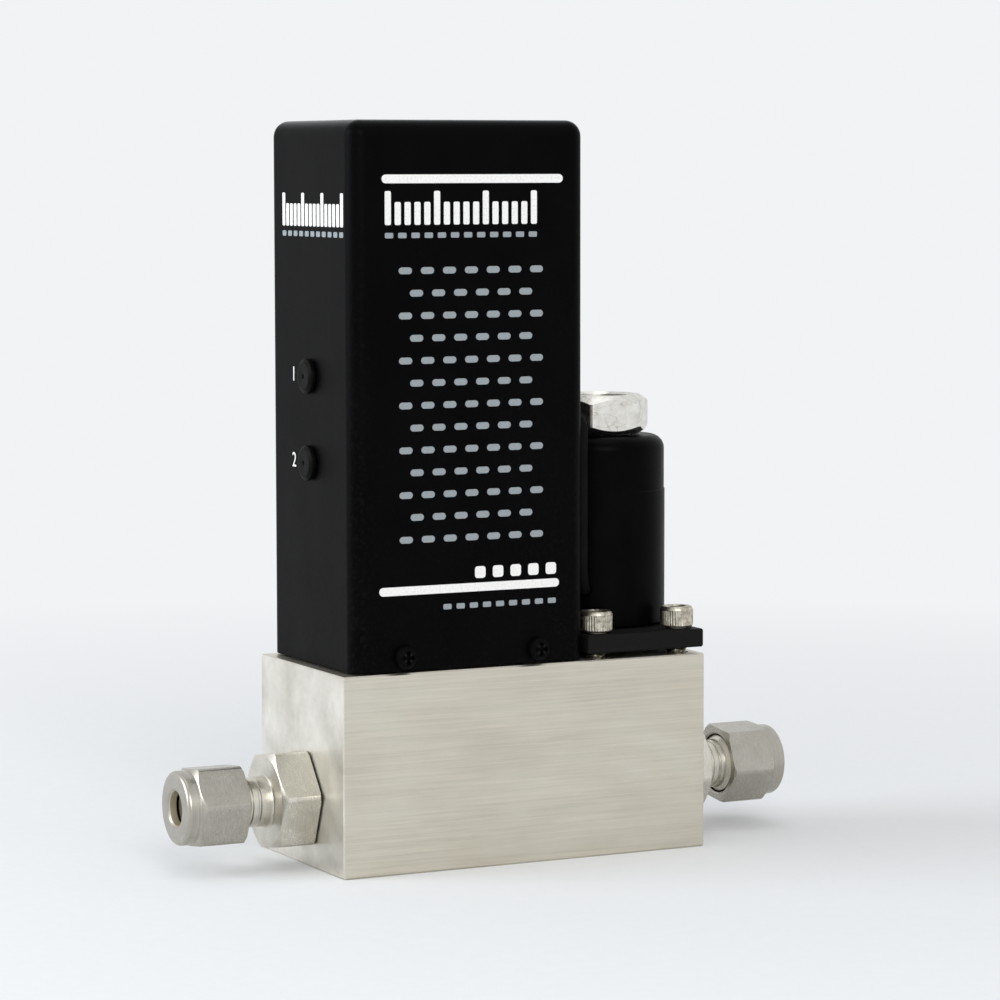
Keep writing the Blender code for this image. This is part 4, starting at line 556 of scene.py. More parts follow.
def dimmed(colour, share):
    return (*(channel * share for channel in colour[:3]), 1.0)


class Look:
    """A material in the making: its Principled shader, and the nodes that feed it."""

    def __init__(self, name):
        material = bpy.data.materials.new(name)
        material.use_nodes = True
        self.tree = material.node_tree
        self.where = self.add("TexCoord", {}, output=3)

    def add(self, kind, inputs, output=0, **settings):
        return add_node(self.tree, kind, inputs, output, **settings)

    def set(self, **sockets):
        """Values or node outputs for the shader's sockets."""
        shader = self.tree.nodes["Principled BSDF"]
        for name, value in sockets.items():
            feed(self.tree, shader.inputs[name.replace("_", " ")], value)

    def math(self, operation, *values):
        return self.add("Math", dict(enumerate(values)), operation=operation)

    def coordinate(self, letter):
        return self.add("SeparateXYZ", {0: self.where}, output="XYZ".index(letter))

    def grain(self, spots, detail=2.0, roughness=0.5, where=None):
        """Noise whose spots have a real size, the same every way or along X, Y and Z."""
        sizes = spots if isinstance(spots, tuple) else (spots,) * 3
        counts = tuple(1 / (spot * MM) for spot in sizes)
        spread = self.add("VectorMath", {0: where or self.where, 1: counts}, operation="MULTIPLY")
        inputs = {"Vector": spread, "Scale": 1.0, "Detail": detail, "Roughness": roughness}
        return self.add("TexNoise", inputs)

    def waves(self, spacing, direction, distortion=0.0, detail_scale=1.0):
        """Bands a real distance apart along an axis."""
        inputs = {"Vector": self.where, "Scale": WAVE_PERIOD / (spacing * MM)}
        inputs.update({"Distortion": distortion, "Detail Scale": detail_scale})
        return self.add("TexWave", inputs, output=1, bands_direction=direction)

    def vary(self, amount, low, high, first, second):
        """A number that goes from first to second as the amount goes from low to high."""
        return self.add("MapRange", {0: amount, 1: low, 2: high, 3: first, 4: second})

    def beyond(self, amount, near, far):
        """0 up to a distance and 1 from a further one on."""
        return self.vary(amount, near * MM, far * MM, 0.0, 1.0)

    def mix(self, share, first, second):
        return self.add("Mix", {0: share, 6: first, 7: second}, output=2, data_type="RGBA")

    def shade(self, amount, low, high, first, second):
        """A colour that goes from first to second as the amount goes from low to high."""
        return self.mix(self.vary(amount, low, high, 0.0, 1.0), first, second)

    def emboss(self, height, depth, strength):
        """Bump of a real depth on the shader's normal."""
        inputs = {"Strength": strength, "Distance": depth * MM, "Height": height}
        self.set(Normal=self.add("Bump", inputs))

    def grained(self, spots, tones, rough, bump=None, detail=3.0, roughness=0.5, **sockets):
        """A finish of one noise. Tones and roughness are (low, high, first, second) of the
        noise, or (first, second) over its usual span."""
        noise = self.grain(spots, detail, roughness)
        tones, rough = (row if len(row) == 4 else (*SPAN, *row) for row in (tones, rough))
        self.set(Base_Color=self.shade(noise, *tones), Roughness=self.vary(noise, *rough), **sockets)
        if bump:
            self.emboss(noise, *bump)

    def cased(self, noise, body, metal, share, rough):
        """A dark case that goes over into bare metal where the share is 1."""
        self.set(Base_Color=self.mix(share, body, metal), Metallic=share)
        self.set(Roughness=self.vary(noise, *SPAN, *rough))


@recipe
def ground_stainless(look):
    """316L stainless bar, belt ground along its length: straight fine lines that blur highlights
    across them. The belt's 0.1 mm lines are drawn 0.35 mm apart, so that they show. The end
    faces are cut on a mill and handled, with dull patches, and are painted whiter than the
    sides: painted light of the lamp that falls on the ends."""
    lines = look.grain((24, 0.35, 0.35), 5.0, 0.7)
    clouds = look.grain((20, 9, 9), 4.0, 0.6)
    lined = look.shade(lines, *SPAN, "#c1bbac", chosen("steel"))
    ground = look.mix(look.vary(clouds, 0.35, 0.7, 0.0, 0.3), lined, "#e6e3db")
    # The ends' colour is painted whiter than the sides: painted light of the lamp on the ends
    milled_painted_light = look.shade(clouds, 0.33, 0.67, "#cdc9bf", "#ece9e0")
    reach = look.math("ABSOLUTE", look.coordinate("X"))
    end = look.beyond(reach, BLOCK_HIGH.x - 0.2, BLOCK_HIGH.x - 0.1)
    look.set(Base_Color=look.mix(end, ground, milled_painted_light), Metallic=1.0)
    look.set(Roughness=look.vary(lines, *SPAN, 0.3, 0.44))
    look.emboss(lines, 0.012, 0.7)


def turned_steel(look, axis, point, light, dark, bore=0.0):
    """Turned stainless: rings 0.2 mm apart about the piece's own axis, a little oil-dull. Inside
    a bore of that radius it is as drilled: matt and straw-coloured."""
    along = Vector([letter == axis for letter in "XYZ"])
    across = Vector((1, 1, 1)) - along
    local = look.add("VectorMath", {0: look.where, 1: Vector(point) * MM}, operation="SUBTRACT")
    flat = look.add("VectorMath", {0: local, 1: across}, operation="MULTIPLY")
    radius = look.add("VectorMath", {0: flat}, output=1, operation="LENGTH")
    height = look.add("VectorMath", {0: local, 1: along}, output=1, operation="DOT_PRODUCT")
    rings = look.grain((0.2, 0.2, 1000), 3.0, where=look.add("CombineXYZ", {0: radius, 1: height}))
    worn = look.math("ADD", rings, look.vary(look.grain(3, 4.0), *SPAN, -0.12, 0.12))
    outside = look.beyond(radius, bore, bore + 0.15)
    look.set(Base_Color=look.mix(outside, "#c9c0a8", look.shade(worn, *SPAN, dark, light)))
    look.set(Metallic=look.vary(outside, 0.0, 1.0, 0.75, 1.0))
    look.set(Roughness=look.add("Mix", {0: outside, 2: 0.6, 3: look.vary(worn, *SPAN, 0.36, 0.24)}))
    look.emboss(rings, 0.006, 0.35)


@recipe
def turned_fitting_stainless(look):
    """316 stainless bar, turned and left bright: pale with fine rings about the port's axis."""
    turned_steel(look, "X", (0, 0, PORT_Z), "#dedacf", "#c4c0b5", TUBE_BORE / 2)


@recipe
def turned_nut_stainless(look):
    """316 stainless nuts, turned and handled more: a darker grey, with a straw-coloured bore."""
    turned_steel(look, "X", (0, 0, PORT_Z), "#b9b5ab", "#a5a197", TUBE_BORE / 2)


@recipe
def turned_valve_stainless(look):
    """430 stainless bar, turned: cooler grey, with rings about the valve's axis."""
    turned_steel(look, "Z", (VALVE_X, 0, 0), "#cfccc4", "#aeaba3")


@recipe
def plated_nut_steel(look):
    """Nickel-plated steel nut: nearly white, with clouded plating and dark curved scratches.
    The scratches are 0.03 mm wide in life and are drawn 0.12 mm wide, so that they show."""
    clouds = look.grain(1.6, 5.0, 0.6)
    slanted = look.add("Mapping", {"Vector": look.where, "Rotation": (0.5, 0.9, 0.4)})
    near = look.math("SUBTRACT", look.grain((2.2, 3.2, 3.2), 1.0, where=slanted), 0.5)
    marked = look.vary(look.math("ABSOLUTE", near), 0.0, 0.014, 0.6, 0.0)
    plated = look.shade(clouds, 0.35, 0.65, "#d0cdc4", "#e9e7e1")
    look.set(Base_Color=look.mix(marked, plated, "#8f8b82"), Metallic=1.0)
    look.set(Roughness=look.vary(clouds, *SPAN, 0.42, 0.28))
    look.emboss(clouds, 0.02, 0.5)


@recipe
def bright_screw_steel(look):
    """A2 stainless screws, cold headed and tumbled: warm, a little dirty in the low places."""
    tones = (0.35, 0.62, "#9b9484", "#cfc9ba")
    look.grained(0.9, tones, (0.35, 0.65, 0.46, 0.28), (0.02, 0.5), 4.0, Metallic=1.0)


@recipe
def stoved_enamel(look):
    """Black stoved enamel on a drawn steel can: even and satin, with fine orange peel, faint
    handling marks and rubbed edges. Faces that look up get a painted reflection: a sheen that
    pales them at grazing angles. Real peel is 0.5 mm across."""
    wiped = look.grain((14, 14, 22), 5.0, 0.6)
    handled = look.shade(wiped, 0.35, 0.75, chosen("paint"), "#060607")
    surface = look.add("NewGeometry", {}).node.outputs
    upward = look.add("SeparateXYZ", {0: surface["Normal"]}, output=2)
    edge = look.vary(surface["Pointiness"], 0.52, 0.58, 0.0, 1.0)
    rubbed = look.math("MULTIPLY", edge, look.vary(look.grain(0.7, 4.0), 0.5, 0.7, 0.0, 0.5))
    look.set(Base_Color=look.mix(rubbed, handled, "#242425"), Specular_IOR_Level=0.03)
    look.set(Roughness=look.vary(wiped, *SPAN, 0.36, 0.46))
    # Painted reflection: a sheen on faces that look up, which pales them at grazing angles
    look.set(Sheen_Weight=look.vary(upward, 0.5, 1.0, 0.0, 0.5), Sheen_Roughness=0.3)
    look.emboss(look.grain(0.5), 0.02, 0.6)


@recipe
def coil_epoxy(look):
    """Black epoxy powder coat on the coil's shell: deeper peel than the can's and a little
    more gloss. Real peel is 0.8 mm across."""
    tones = (0.35, 0.7, "#030304", "#070708")
    look.grained((6, 6, 12), tones, (0.3, 0.42), None, 5.0, 0.6, Specular_IOR_Level=0.028)
    look.emboss(look.grain(0.8), 0.02, 0.4)


@recipe
def black_oxide_steel(look):
    """Steel, black oxidised in a hot bath: nearly black, blotched, with bare steel showing
    through where an edge has been rubbed."""
    blotches = look.grain(2.5, 5.0, 0.6)
    oxide = look.shade(blotches, 0.35, 0.7, "#050506", "#0b0b0c")
    edge = look.add("NewGeometry", {}).node.outputs["Pointiness"]
    rubbed = look.vary(edge, 0.54, 0.64, 0.0, 0.35)
    look.set(Base_Color=look.mix(rubbed, oxide, "#3a3937"), Specular_IOR_Level=0.032)
    look.set(Roughness=look.vary(blotches, *SPAN, 0.42, 0.58))
    look.emboss(blotches, 0.02, 0.4)


@recipe
def moulded_nylon(look):
    """Black moulded nylon plugs: a fine spark-eroded grain, 0.25 mm across, and a low sheen."""
    tones = ("#050504", "#0c0c0a")
    look.grained(0.25, tones, (0.38, 0.55), (0.02, 0.5), 2.0, Specular_IOR_Level=0.05)


@recipe
def extruded_lead_rubber(look):
    """Black silicone lead and grommet, extruded and moulded: dull, with dust along its length."""
    tones = (0.4, 0.75, "#060606", "#111111")
    look.grained((1.2, 1.2, 4), tones, (0.6, 0.75), (0.02, 0.4), 4.0, Specular_IOR_Level=0.08)


@recipe
def moulded_seal_rubber(look):
    """Fluorocarbon O-rings, moulded: matt black with a trace of grease."""
    tones = (0.35, 0.7, "#0a0a0a", "#1a1918")
    look.grained(1.5, tones, (0.4, 0.6, 0.62, 0.3), Specular_IOR_Level=0.4)


@recipe
def rolled_aluminium(look):
    """Aluminium sheet, rolled and left plain: faint rolling lines along X, 0.3 mm apart."""
    look.grained((30, 0.3, 0.3), ("#c3c4c6", "#dcdddf"), (0.32, 0.45), (0.01, 0.4), Metallic=1.0)


@recipe
def masked_glass_laminate(look):
    """Glass-epoxy board under green solder mask: glossy, with its weave showing faintly
    through. Real threads are 0.5 mm apart and are drawn 1 mm apart."""
    cloth = look.math("MULTIPLY", *(look.waves(0.98696, direction, 0.4) for direction in "XZ"))
    look.set(Base_Color=look.shade(cloth, 0.1, 0.9, "#123f24", "#1d5a34"), **SOLDER_MASK)
    look.set(Roughness=look.vary(cloth, 0.0, 1.0, 0.34, 0.42))
    look.emboss(cloth, 0.01, 0.3)


@recipe
def masked_copper(look):
    """Copper tracks under the solder mask: a lighter, yellower green than bare board."""
    look.grained(0.6, ("#2f6f38", "#3f8245"), (0.3, 0.4), detail=2.0, **SOLDER_MASK)


@recipe
def gold_plate(look):
    """Hard gold on the card edge's fingers: bright, with wiping marks along the fingers."""
    look.grained((0.12, 1, 6), ("#c99a3c", "#e6bd62"), (0.2, 0.34), Metallic=1.0)


@recipe
def solder(look):
    """Tin solder on the pads, reflowed: bright and clouded."""
    look.grained(0.5, ("#a9adb0", "#d6d9db"), (0.2, 0.4), Metallic=1.0)


@recipe
def resistor_lacquer(look):
    """Dipped lacquer on film resistors: pale blue, glossy, with painted value bands 2.2 mm apart."""
    bands = look.waves(2.17131, "Z")
    look.set(Base_Color=look.shade(bands, 0.84, 0.9, "#7fb0c4", "#5a2f1c"), Roughness=0.3, Coat_Weight=0.3)


@recipe
def moulded_trimmer_plastic(look):
    """Blue glass-filled thermoset trimmer cases: matt, with the fill showing as fine specks."""
    tones = (0.35, 0.75, "#1f4f9e", "#3a72c4")
    look.grained(0.3, tones, (0.4, 0.55), (0.01, 0.4), 4.0, Specular_IOR_Level=0.45)


@recipe
def turned_brass(look):
    """Free-cutting brass screws, turned: warm yellow with rings along X, 0.12 mm apart."""
    look.grained((0.12, 2, 2), ("#b58f45", "#e0bd74"), (0.22, 0.36), Metallic=1.0)


@recipe
def chip_epoxy(look):
    """Black epoxy moulding compound with tinned leads. The leads are told from the body by
    their place: they stand in two rows beyond the case."""
    low, high = box("amplifier_chip")
    specks = look.grain(0.35, 3.0)
    epoxy = look.shade(specks, 0.35, 0.7, "#171718", "#2a2a2b")
    reach = look.math("ABSOLUTE", look.math("SUBTRACT", look.coordinate("Z"), (low.z + high.z) / 2 * MM))
    case = (high.z - low.z) / 2 - 0.9
    look.cased(specks, epoxy, "#c9cbcc", look.beyond(reach, case, case + 0.05), (0.35, 0.5))


@recipe
def transistor_epoxy(look):
    """A power transistor's black epoxy body on its tinned copper tab, told apart by depth."""
    back = box("drive_transistor")[1].y
    specks = look.grain(0.4, 3.0)
    epoxy = look.shade(specks, 0.35, 0.7, "#161617", "#29292a")
    tinned = look.shade(specks, *SPAN, "#b4b7b9", "#d2d4d5")
    tab = look.beyond(look.coordinate("Y"), back - 1.32, back - 1.28)
    look.cased(specks, epoxy, tinned, tab, (0.3, 0.48))


@recipe
def capacitor_sleeve(look):
    """A shrunk dark sleeve round an aluminium can: glossy, with the bare vented top showing."""
    top = box("filter_capacitor")[1].z
    creases = look.grain((1.2, 1.2, 5), 3.0)
    sleeve = look.shade(creases, *SPAN, "#10161f", "#1d2735")
    bare = look.beyond(look.coordinate("Z"), top - 0.15, top - 0.1)
    look.cased(creases, sleeve, "#c8cacb", bare, (0.25, 0.4))


def wound_copper(look, axis, spacing):
    """Enamelled copper wire in close turns along an axis."""
    turns = look.waves(spacing, axis, 0.6, 2.0)
    look.set(Base_Color=look.shade(turns, 0.1, 0.9, "#6d3418", "#c9743f"), Metallic=1.0)
    look.set(Roughness=look.vary(turns, 0.0, 1.0, 0.42, 0.26), Coat_Weight=0.6, Coat_Roughness=0.2)
    look.emboss(turns, 0.06, 0.6)


@recipe
def fine_enamelled_winding(look):
    """0.05 mm wire on the sensor tube, drawn 0.5 mm apart so that its turns show."""
    wound_copper(look, "X", 0.49348)


@recipe
def coil_enamelled_winding(look):
    """0.2 mm wire on the valve's bobbin, drawn 0.8 mm apart so that its turns show."""
    wound_copper(look, "Z", 0.78957)


def screen_ink(look, colour):
    """Screen-printed enamel ink: dense and satin, with pinholes of the 0.2 mm mesh at its
    rims, drawn 0.4 mm across."""
    marks = look.grain(0.4, 3.0)
    look.set(Base_Color=look.shade(marks, 0.28, 0.5, dimmed(colour, 0.82), colour))
    look.set(Roughness=0.5, Specular_IOR_Level=0.3)
    look.emboss(marks, 0.01, 0.3)


@recipe
def white_screen_ink(look):
    """White enamel ink, screen printed on the can: nearly pure white."""
    screen_ink(look, chosen("print_white"))


@recipe
def grey_screen_ink(look):
    """Grey enamel ink, screen printed on the can: a cool middle grey."""
    screen_ink(look, chosen("print_grey"))


@recipe
def matt_studio_board(look):
    """Painted studio board under the controller. It takes the object's shadow near it, and
    further out it goes over into the plain backdrop."""
    colour = chosen("backdrop")
    fibres = look.grain(3, 3.0)
    look.set(Base_Color=look.shade(fibres, *SPAN, dimmed(colour, 0.985), colour))
    look.set(Roughness=0.9, Specular_IOR_Level=0.1)
    distance = look.add("VectorMath", {0: look.where}, output=1, operation="LENGTH")
    far = look.beyond(distance, FLOOR_SHADOW, FLOOR_FADE)
    glow = look.add("Emission", {"Color": colour, "Strength": 1.0})
    nodes = look.tree.nodes
    share = look.math("MULTIPLY", far, seen_rays(look.tree))
    mixed = look.add("MixShader", {0: share, 1: nodes["Principled BSDF"].outputs[0], 2: glow})
    feed(look.tree, nodes["Material Output"].inputs["Surface"], mixed)


# Pieces


class CONTROLLER_OT_flow_block(bpy.types.Operator):
    """Finish the flow block, the sensor's base and the mount under the valve"""

    bl_idname = "controller.flow_block"
    bl_label = "Flow block"

    def execute(self, context):
        dress("ground_stainless", "flow_block", "sensor_base")
        dress("black_oxide_steel", "valve_flange", "valve_spacer")
        return {"FINISHED"}


class CONTROLLER_OT_fittings(bpy.types.Operator):
    """Build both compression fittings with their hexagons and threads"""

    bl_idname = "controller.fittings"
    bl_label = "Compression fittings"

    def execute(self, context):
        for side, label in ((-1, "inlet"), (1, "outlet")):
            for piece, column, turns, name, node in (
                ("fitting", body_column, BODY_TURNS, "turned_fitting_stainless", "fitting_body"),
                ("tube_nut", nut_column, NUT_TURNS, "turned_nut_stainless", "nut"),
            ):
                end = BLOCK_LOW.x if side < 0 else BLOCK_HIGH.x
                place = placed((end, 0, PORT_Z), (side, 0, 0), side * (turns[side] - 90))
                obj = new_object(f"{label}_{piece}", lathed(column, HEXAGON_STEPS), place)
                finish_piece(obj, name, [f"{label}_{node}"])
            dress("turned_nut_stainless", f"{label}_front_ferrule", f"{label}_back_ferrule")
        return {"FINISHED"}


def body_column(angle):
    """The body: tube socket, thread, ringed neck, hexagon, O-ring seat and stud."""
    bore, through, neck = TUBE_BORE / 2, THROUGH_BORE / 2, NECK / 2
    nut_thread, stud, undercut = NUT_THREAD[0] / 2, STUD_THREAD[0] / 2, UNDERCUT / 2
    corner = corner_distance(BODY_HEX)
    column = [(bore + 1.17, BODY_FRONT), (nut_thread - 0.45, BODY_FRONT), (nut_thread, BODY_FRONT - 0.45)]
    column += thread(BODY_FRONT - 0.5, NECK_END, NUT_THREAD, angle)
    column.append((neck + 0.1, NECK_END - 0.75))
    for ring in NECK_RINGS:
        column += [(neck, ring + 0.3), (neck - NECK_GROOVE, ring + 0.12)]
        column += [(neck - NECK_GROOVE, ring - 0.12), (neck, ring - 0.3)]
    column += eased([
        (neck, NECK_END - 4.5), (neck, BODY_HEX_END, 0.35), (BODY_HEX / 2 - 0.2, BODY_HEX_END, 0.12),
        (corner, BODY_HEX_END - 0.8), (corner, BODY_HEX_START + 0.25), (corner - 0.45, BODY_HEX_START),
        (undercut, BODY_HEX_START), (undercut, -PORT_MOUTH), (stud - EDGE_BREAK, -PORT_MOUTH),
    ])
    column += thread(-PORT_MOUTH - EDGE_BREAK, 2 * EDGE_BREAK - STUD_LENGTH, STUD_THREAD, angle)
    column += [
        (stud - 2 * EDGE_BREAK, -STUD_LENGTH), (through, -STUD_LENGTH), (through, TUBE_SHOULDER),
        (bore, TUBE_SHOULDER), (bore, BODY_FRONT - 1.9),
    ]
    return hexagon_cut(column, BODY_HEX, angle)


def nut_column(angle):
    """The nut: chamfered hexagon, collar and rounded end, with the tube's bore."""
    bore, collar, inner = TUBE_BORE / 2, NUT_COLLAR / 2, NUT_THREAD[0] / 2 + RUNNING_GAP
    corner = corner_distance(NUT_HEX)
    outline = eased([
        (bore, FITTING_REACH - 0.35), (bore + 0.35, FITTING_REACH), (collar, FITTING_REACH, 0.75),
        (collar, NUT_COLLAR_START, 0.1), (corner, NUT_COLLAR_START - 0.9), (corner, NUT_START + 0.45),
        (corner - 0.6, NUT_START), (inner + 0.3, NUT_START), (inner, NUT_START + 0.3),
        (inner, FERRULE_SHOULDER - EDGE_BREAK), (inner - EDGE_BREAK, FERRULE_SHOULDER),
        (bore, FERRULE_SHOULDER + 0.5),
    ])
    return hexagon_cut(outline, NUT_HEX, angle)


class CONTROLLER_OT_can(bpy.types.Operator):
    """Build the drawn can with its window and holes"""

    bl_idname = "controller.can"
    bl_label = "Can"

    def execute(self, context):
        bm = block(CAN_LOW, CAN_HIGH)
        lowest = min(bm.faces, key=lambda face: face.calc_center_median().z)
        bmesh.ops.delete(bm, geom=[lowest], context="FACES")
        can = new_object("can_shell", bm)
        ease_edges(can, size("can_edge"), 10, 50)
        thickness = context.scene.controller_sizes.can_wall
        add_modifier(can, "SOLIDIFY", thickness=thickness, offset=-1, use_even_offset=True)
        settle(can)
        cut(can, self.hole_tools())
        ease_edges(can, HOLE_EASE, 2, 60)
        finish_piece(can, "stoved_enamel", ["can"])
        return {"FINISHED"}

    def hole_tools(self):
        """Tools for the card window, the plugs, the screws and the grommet."""
        through = 4 * size("can_wall")
        place = placed((CAN_X, middle_of("circuit_board").y, CAN_HIGH.z - through))
        tools = [new_object("tool", raised([rounded_bar(*WINDOW)], 2 * through), place)]
        for node in PLUGS:
            y, z = middle_of(node).yz
            tools.append(rod(PLUG_HOLE, (CAN_LOW.x - through / 2, y, z), (1, 0, 0), through))
        for node in CAN_SCREWS:
            x, y, z = middle_of(node)
            side = math.copysign(1, y)
            start = (x, side * (CAN_HIGH.y + through / 2), z)
            tools.append(rod(SCREW_HOLE, start, (0, -side, 0), through, SCREW_STEPS))
        y, z = middle_of("lead_grommet").yz
        tools.append(rod(GROMMET_HOLE, (CAN_HIGH.x - through, y, z), (1, 0, 0), 2 * through))
        return tools


# Prints: X and height of their middles, then their width where they have one of their own
TOP_BAR = (-11.2, 128.5)
LOW_BAR = (-12.0, 52.85)
FRONT_SCALE = (-13.6, 123.2, 31.2)
SIDE_SCALE = (1.5, 122.8, 27.5)
SCALE_TICKS = 16
LONG_TICK_STEP = 5
TICK_WIDTH = 1.25
LONG_TICK = 6.2
SHORT_TICK = 4.2
UPPER_RULE = (-13.6, 118.2, 31.2)
LOW_RULE = (-5.8, 49.5, 23.5)
SIDE_RULE = (1.5, 118.3, 27.5)
RULE_HEIGHT = 1.0
RULE_PITCH = 2.6
RULE_DASH = 1.7
FIELD_MIDDLE = (-11.6, 87.0)
FIELD_WIDTH = 31.5
FIELD_HEIGHT = 49.5
DASHES_PER_ROW = 7
MARKS_X = (4.9, 1.2, -2.5, -6.2, -9.9)
MARKS_HEIGHT = 55.6
MARK = 2.2
NUMERAL_SHIFT = 7.2
NUMERAL_FONT_SIZE = 1.4


class CONTROLLER_OT_can_print(bpy.types.Operator):
    """Print the bars, the tick scales, the grey field and the plug numbers on the can"""

    bl_idname = "controller.can_print"
    bl_label = "Can print"

    def execute(self, context):
        front = wall((0, CAN_LOW.y, 0))
        left = wall((CAN_LOW.x, 0, 0), -90)
        bar = (size("bar_length"), size("bar_height"), size("bar_height") / 2)
        bars = [rounded_bar(*bar, middle) for middle in (TOP_BAR, LOW_BAR)]
        marks = [rounded_bar(MARK, MARK, MARK / 4, (x, MARKS_HEIGHT)) for x in MARKS_X]
        rules = self.dashed_rule(*UPPER_RULE) + self.dashed_rule(*LOW_RULE)
        for name, outlines, place, ink in (
            ("bars", bars, front, "white"),
            ("front_scale", self.tick_scale(*FRONT_SCALE), front, "white"),
            ("side_scale", self.tick_scale(*SIDE_SCALE), left, "white"),
            ("marks", marks, front, "white"),
            ("front_rules", rules, front, "grey"),
            ("side_rule", self.dashed_rule(*SIDE_RULE), left, "grey"),
            ("field", self.dash_field(context.scene.controller_sizes.dash_rows), front, "grey"),
        ):
            bm = raised(outlines, size("ink"))
            finish_piece(new_object("printed_" + name, bm, place), ink + "_screen_ink")
        for number, node in enumerate(PLUGS, 1):
            self.numeral(number, middle_of(node))
        return {"FINISHED"}

    def tick_scale(self, x, height, width):
        """A plain scale: long and short ticks that stand on one line."""
        outlines = []
        for index in range(SCALE_TICKS):
            tick = SHORT_TICK if index % LONG_TICK_STEP else LONG_TICK
            across = x + (index / (SCALE_TICKS - 1) - 0.5) * (width - TICK_WIDTH)
            middle = (across, height + (tick - LONG_TICK) / 2)
            outlines.append(rounded_bar(TICK_WIDTH, tick, TICK_WIDTH / 4, middle))
        return outlines

    def dashed_rule(self, x, height, width):
        """A broken grey line."""
        steps = round((width - RULE_DASH) / RULE_PITCH)
        pitch = (width - RULE_DASH) / steps
        middles = [(x + (index - steps / 2) * pitch, height) for index in range(steps + 1)]
        return [rounded_bar(RULE_DASH, RULE_HEIGHT, RULE_HEIGHT / 4, middle) for middle in middles]

    def dash_field(self, rows):
        """Grey dashes laid like bricks: each second row is shifted by half a step."""
        dash = (size("dash_length"), size("dash_height"), size("dash_height") / 2)
        outlines = []
        for row in range(rows):
            y = FIELD_MIDDLE[1] + FIELD_HEIGHT * (row / (rows - 1) - 0.5)
            dashes = DASHES_PER_ROW - row % 2
            for index in range(dashes):
                x = FIELD_MIDDLE[0] + (index - (dashes - 1) / 2) * FIELD_WIDTH / DASHES_PER_ROW
                outlines.append(rounded_bar(*dash, (x, y)))
        return outlines

    def numeral(self, number, middle):
        """A plain number on the can's left wall, beside its plug."""
        name = f"printed_numeral_{number}"
        curve = bpy.data.curves.new(name, "FONT")
        curve.body = str(number)
        curve.size = size("numeral_height") * NUMERAL_FONT_SIZE
        curve.extrude = size("ink") / 2
        curve.align_x = curve.align_y = "CENTER"
        place = wall((CAN_LOW.x - size("ink") / 2, middle.y + NUMERAL_SHIFT, middle.z), -90)
        finish_piece(meshed(name, curve, place), "white_screen_ink")


class CONTROLLER_OT_small_screws(bpy.types.Operator):
    """Build the can's screws and the pan head screws inside"""

    bl_idname = "controller.small_screws"
    bl_label = "Small screws"

    def execute(self, context):
        for node in CAN_SCREWS:
            side = math.copysign(1, middle_of(node).y)
            self.pan_screw(node, (0, side, 0), CAN_SCREW_HEAD, "black_oxide_steel", "screw_black")
        for kind, direction in (("sensor", UP), ("bracket", UP), ("board", (0, -1, 0))):
            for number in (1, 2):
                node = f"{kind}_screw_{number}"
                self.pan_screw(node, direction, PAN_HEAD, "bright_screw_steel", "screw_steel")
        return {"FINISHED"}

    def pan_screw(self, node, direction, head, name, slot):
        """A cross recess screw between the ends that its node has."""
        width, rise = head
        shank = PAN_THREAD[0] / 2
        low, high = box(node)
        aim = Vector(direction)
        half = abs((high - low).dot(aim)) / 2
        length = 2 * half - rise
        crown = eased([
            (0, rise), (width * 0.34, rise, 0.8), (width * 0.47, rise * 0.6, 0.3),
            (width / 2, 0.05), (width / 2, 0), (shank, 0),
        ])

        def column(angle):
            helix = thread(-0.4, EDGE_BREAK - length, PAN_THREAD, angle)
            return crown + helix + [(shank - EDGE_BREAK, -length), (0, -length)]

        place = placed((low + high) / 2 + aim * (half - rise), direction)
        screw = new_object(node + "_fine", lathed(column, SCREW_STEPS, closed=False), place)
        top = Vector((0, 0, rise))
        tools = []
        for wide, deep in ((CROSS_REACH, CROSS_WIDTH / 2), (CROSS_WIDTH / 2, CROSS_REACH)):
            corner = Vector((wide, deep, CROSS_DEPTH))
            tools.append(new_object("tool", block(top - corner, top + corner), place))
        cut(screw, tools)
        finish_piece(screw, name, [node])


class CONTROLLER_OT_plugs(bpy.types.Operator):
    """Build the two moulded plugs in the can's side"""

    bl_idname = "controller.plugs"
    bl_label = "Plugs"

    def execute(self, context):
        seat = CAN_LOW.x - RUNNING_GAP
        shank = PLUG_SHANK / 2
        barb = -size("can_wall") - 2 * RUNNING_GAP
        for node in PLUGS:
            low, high = box(node)
            head, end, rim = seat - low.x, seat - high.x, (high.z - low.z) / 2
            outline = eased([
                (0, head - 0.3), (0.3, head - 0.3), (0.5, head - 0.05, 0.08), (rim - 0.7, head, 0.4),
                (rim, head - 0.45, 0.3), (rim, 0), (shank, 0), (shank, barb),
                (shank + PLUG_BARB, barb - PLUG_BARB, 0.1), (shank - EDGE_BREAK, end),
                (shank - PLUG_WALL, end), (shank - PLUG_WALL, -EDGE_BREAK), (0, -EDGE_BREAK),
            ])
            place = placed((seat, *middle_of(node).yz), (-1, 0, 0))
            plug = new_object(node + "_fine", turned(outline, closed=False), place)
            finish_piece(plug, "moulded_nylon", [node])
        return {"FINISHED"}


# The lead's route in the frame, listed as the source has it
LEAD_UPRIGHT = Vector((15.5, -11.175))
LEAD_EXIT_HEIGHT = 50.0
LEAD_START = 9.95
LEAD_AT_SHELL = 13.25
LEAD_BOARD_Y = -1.2


def lead_outward():
    """Unit vector in plan from the valve's axis to the lead."""
    return (LEAD_UPRIGHT - Vector((VALVE_X, 0))).normalized()


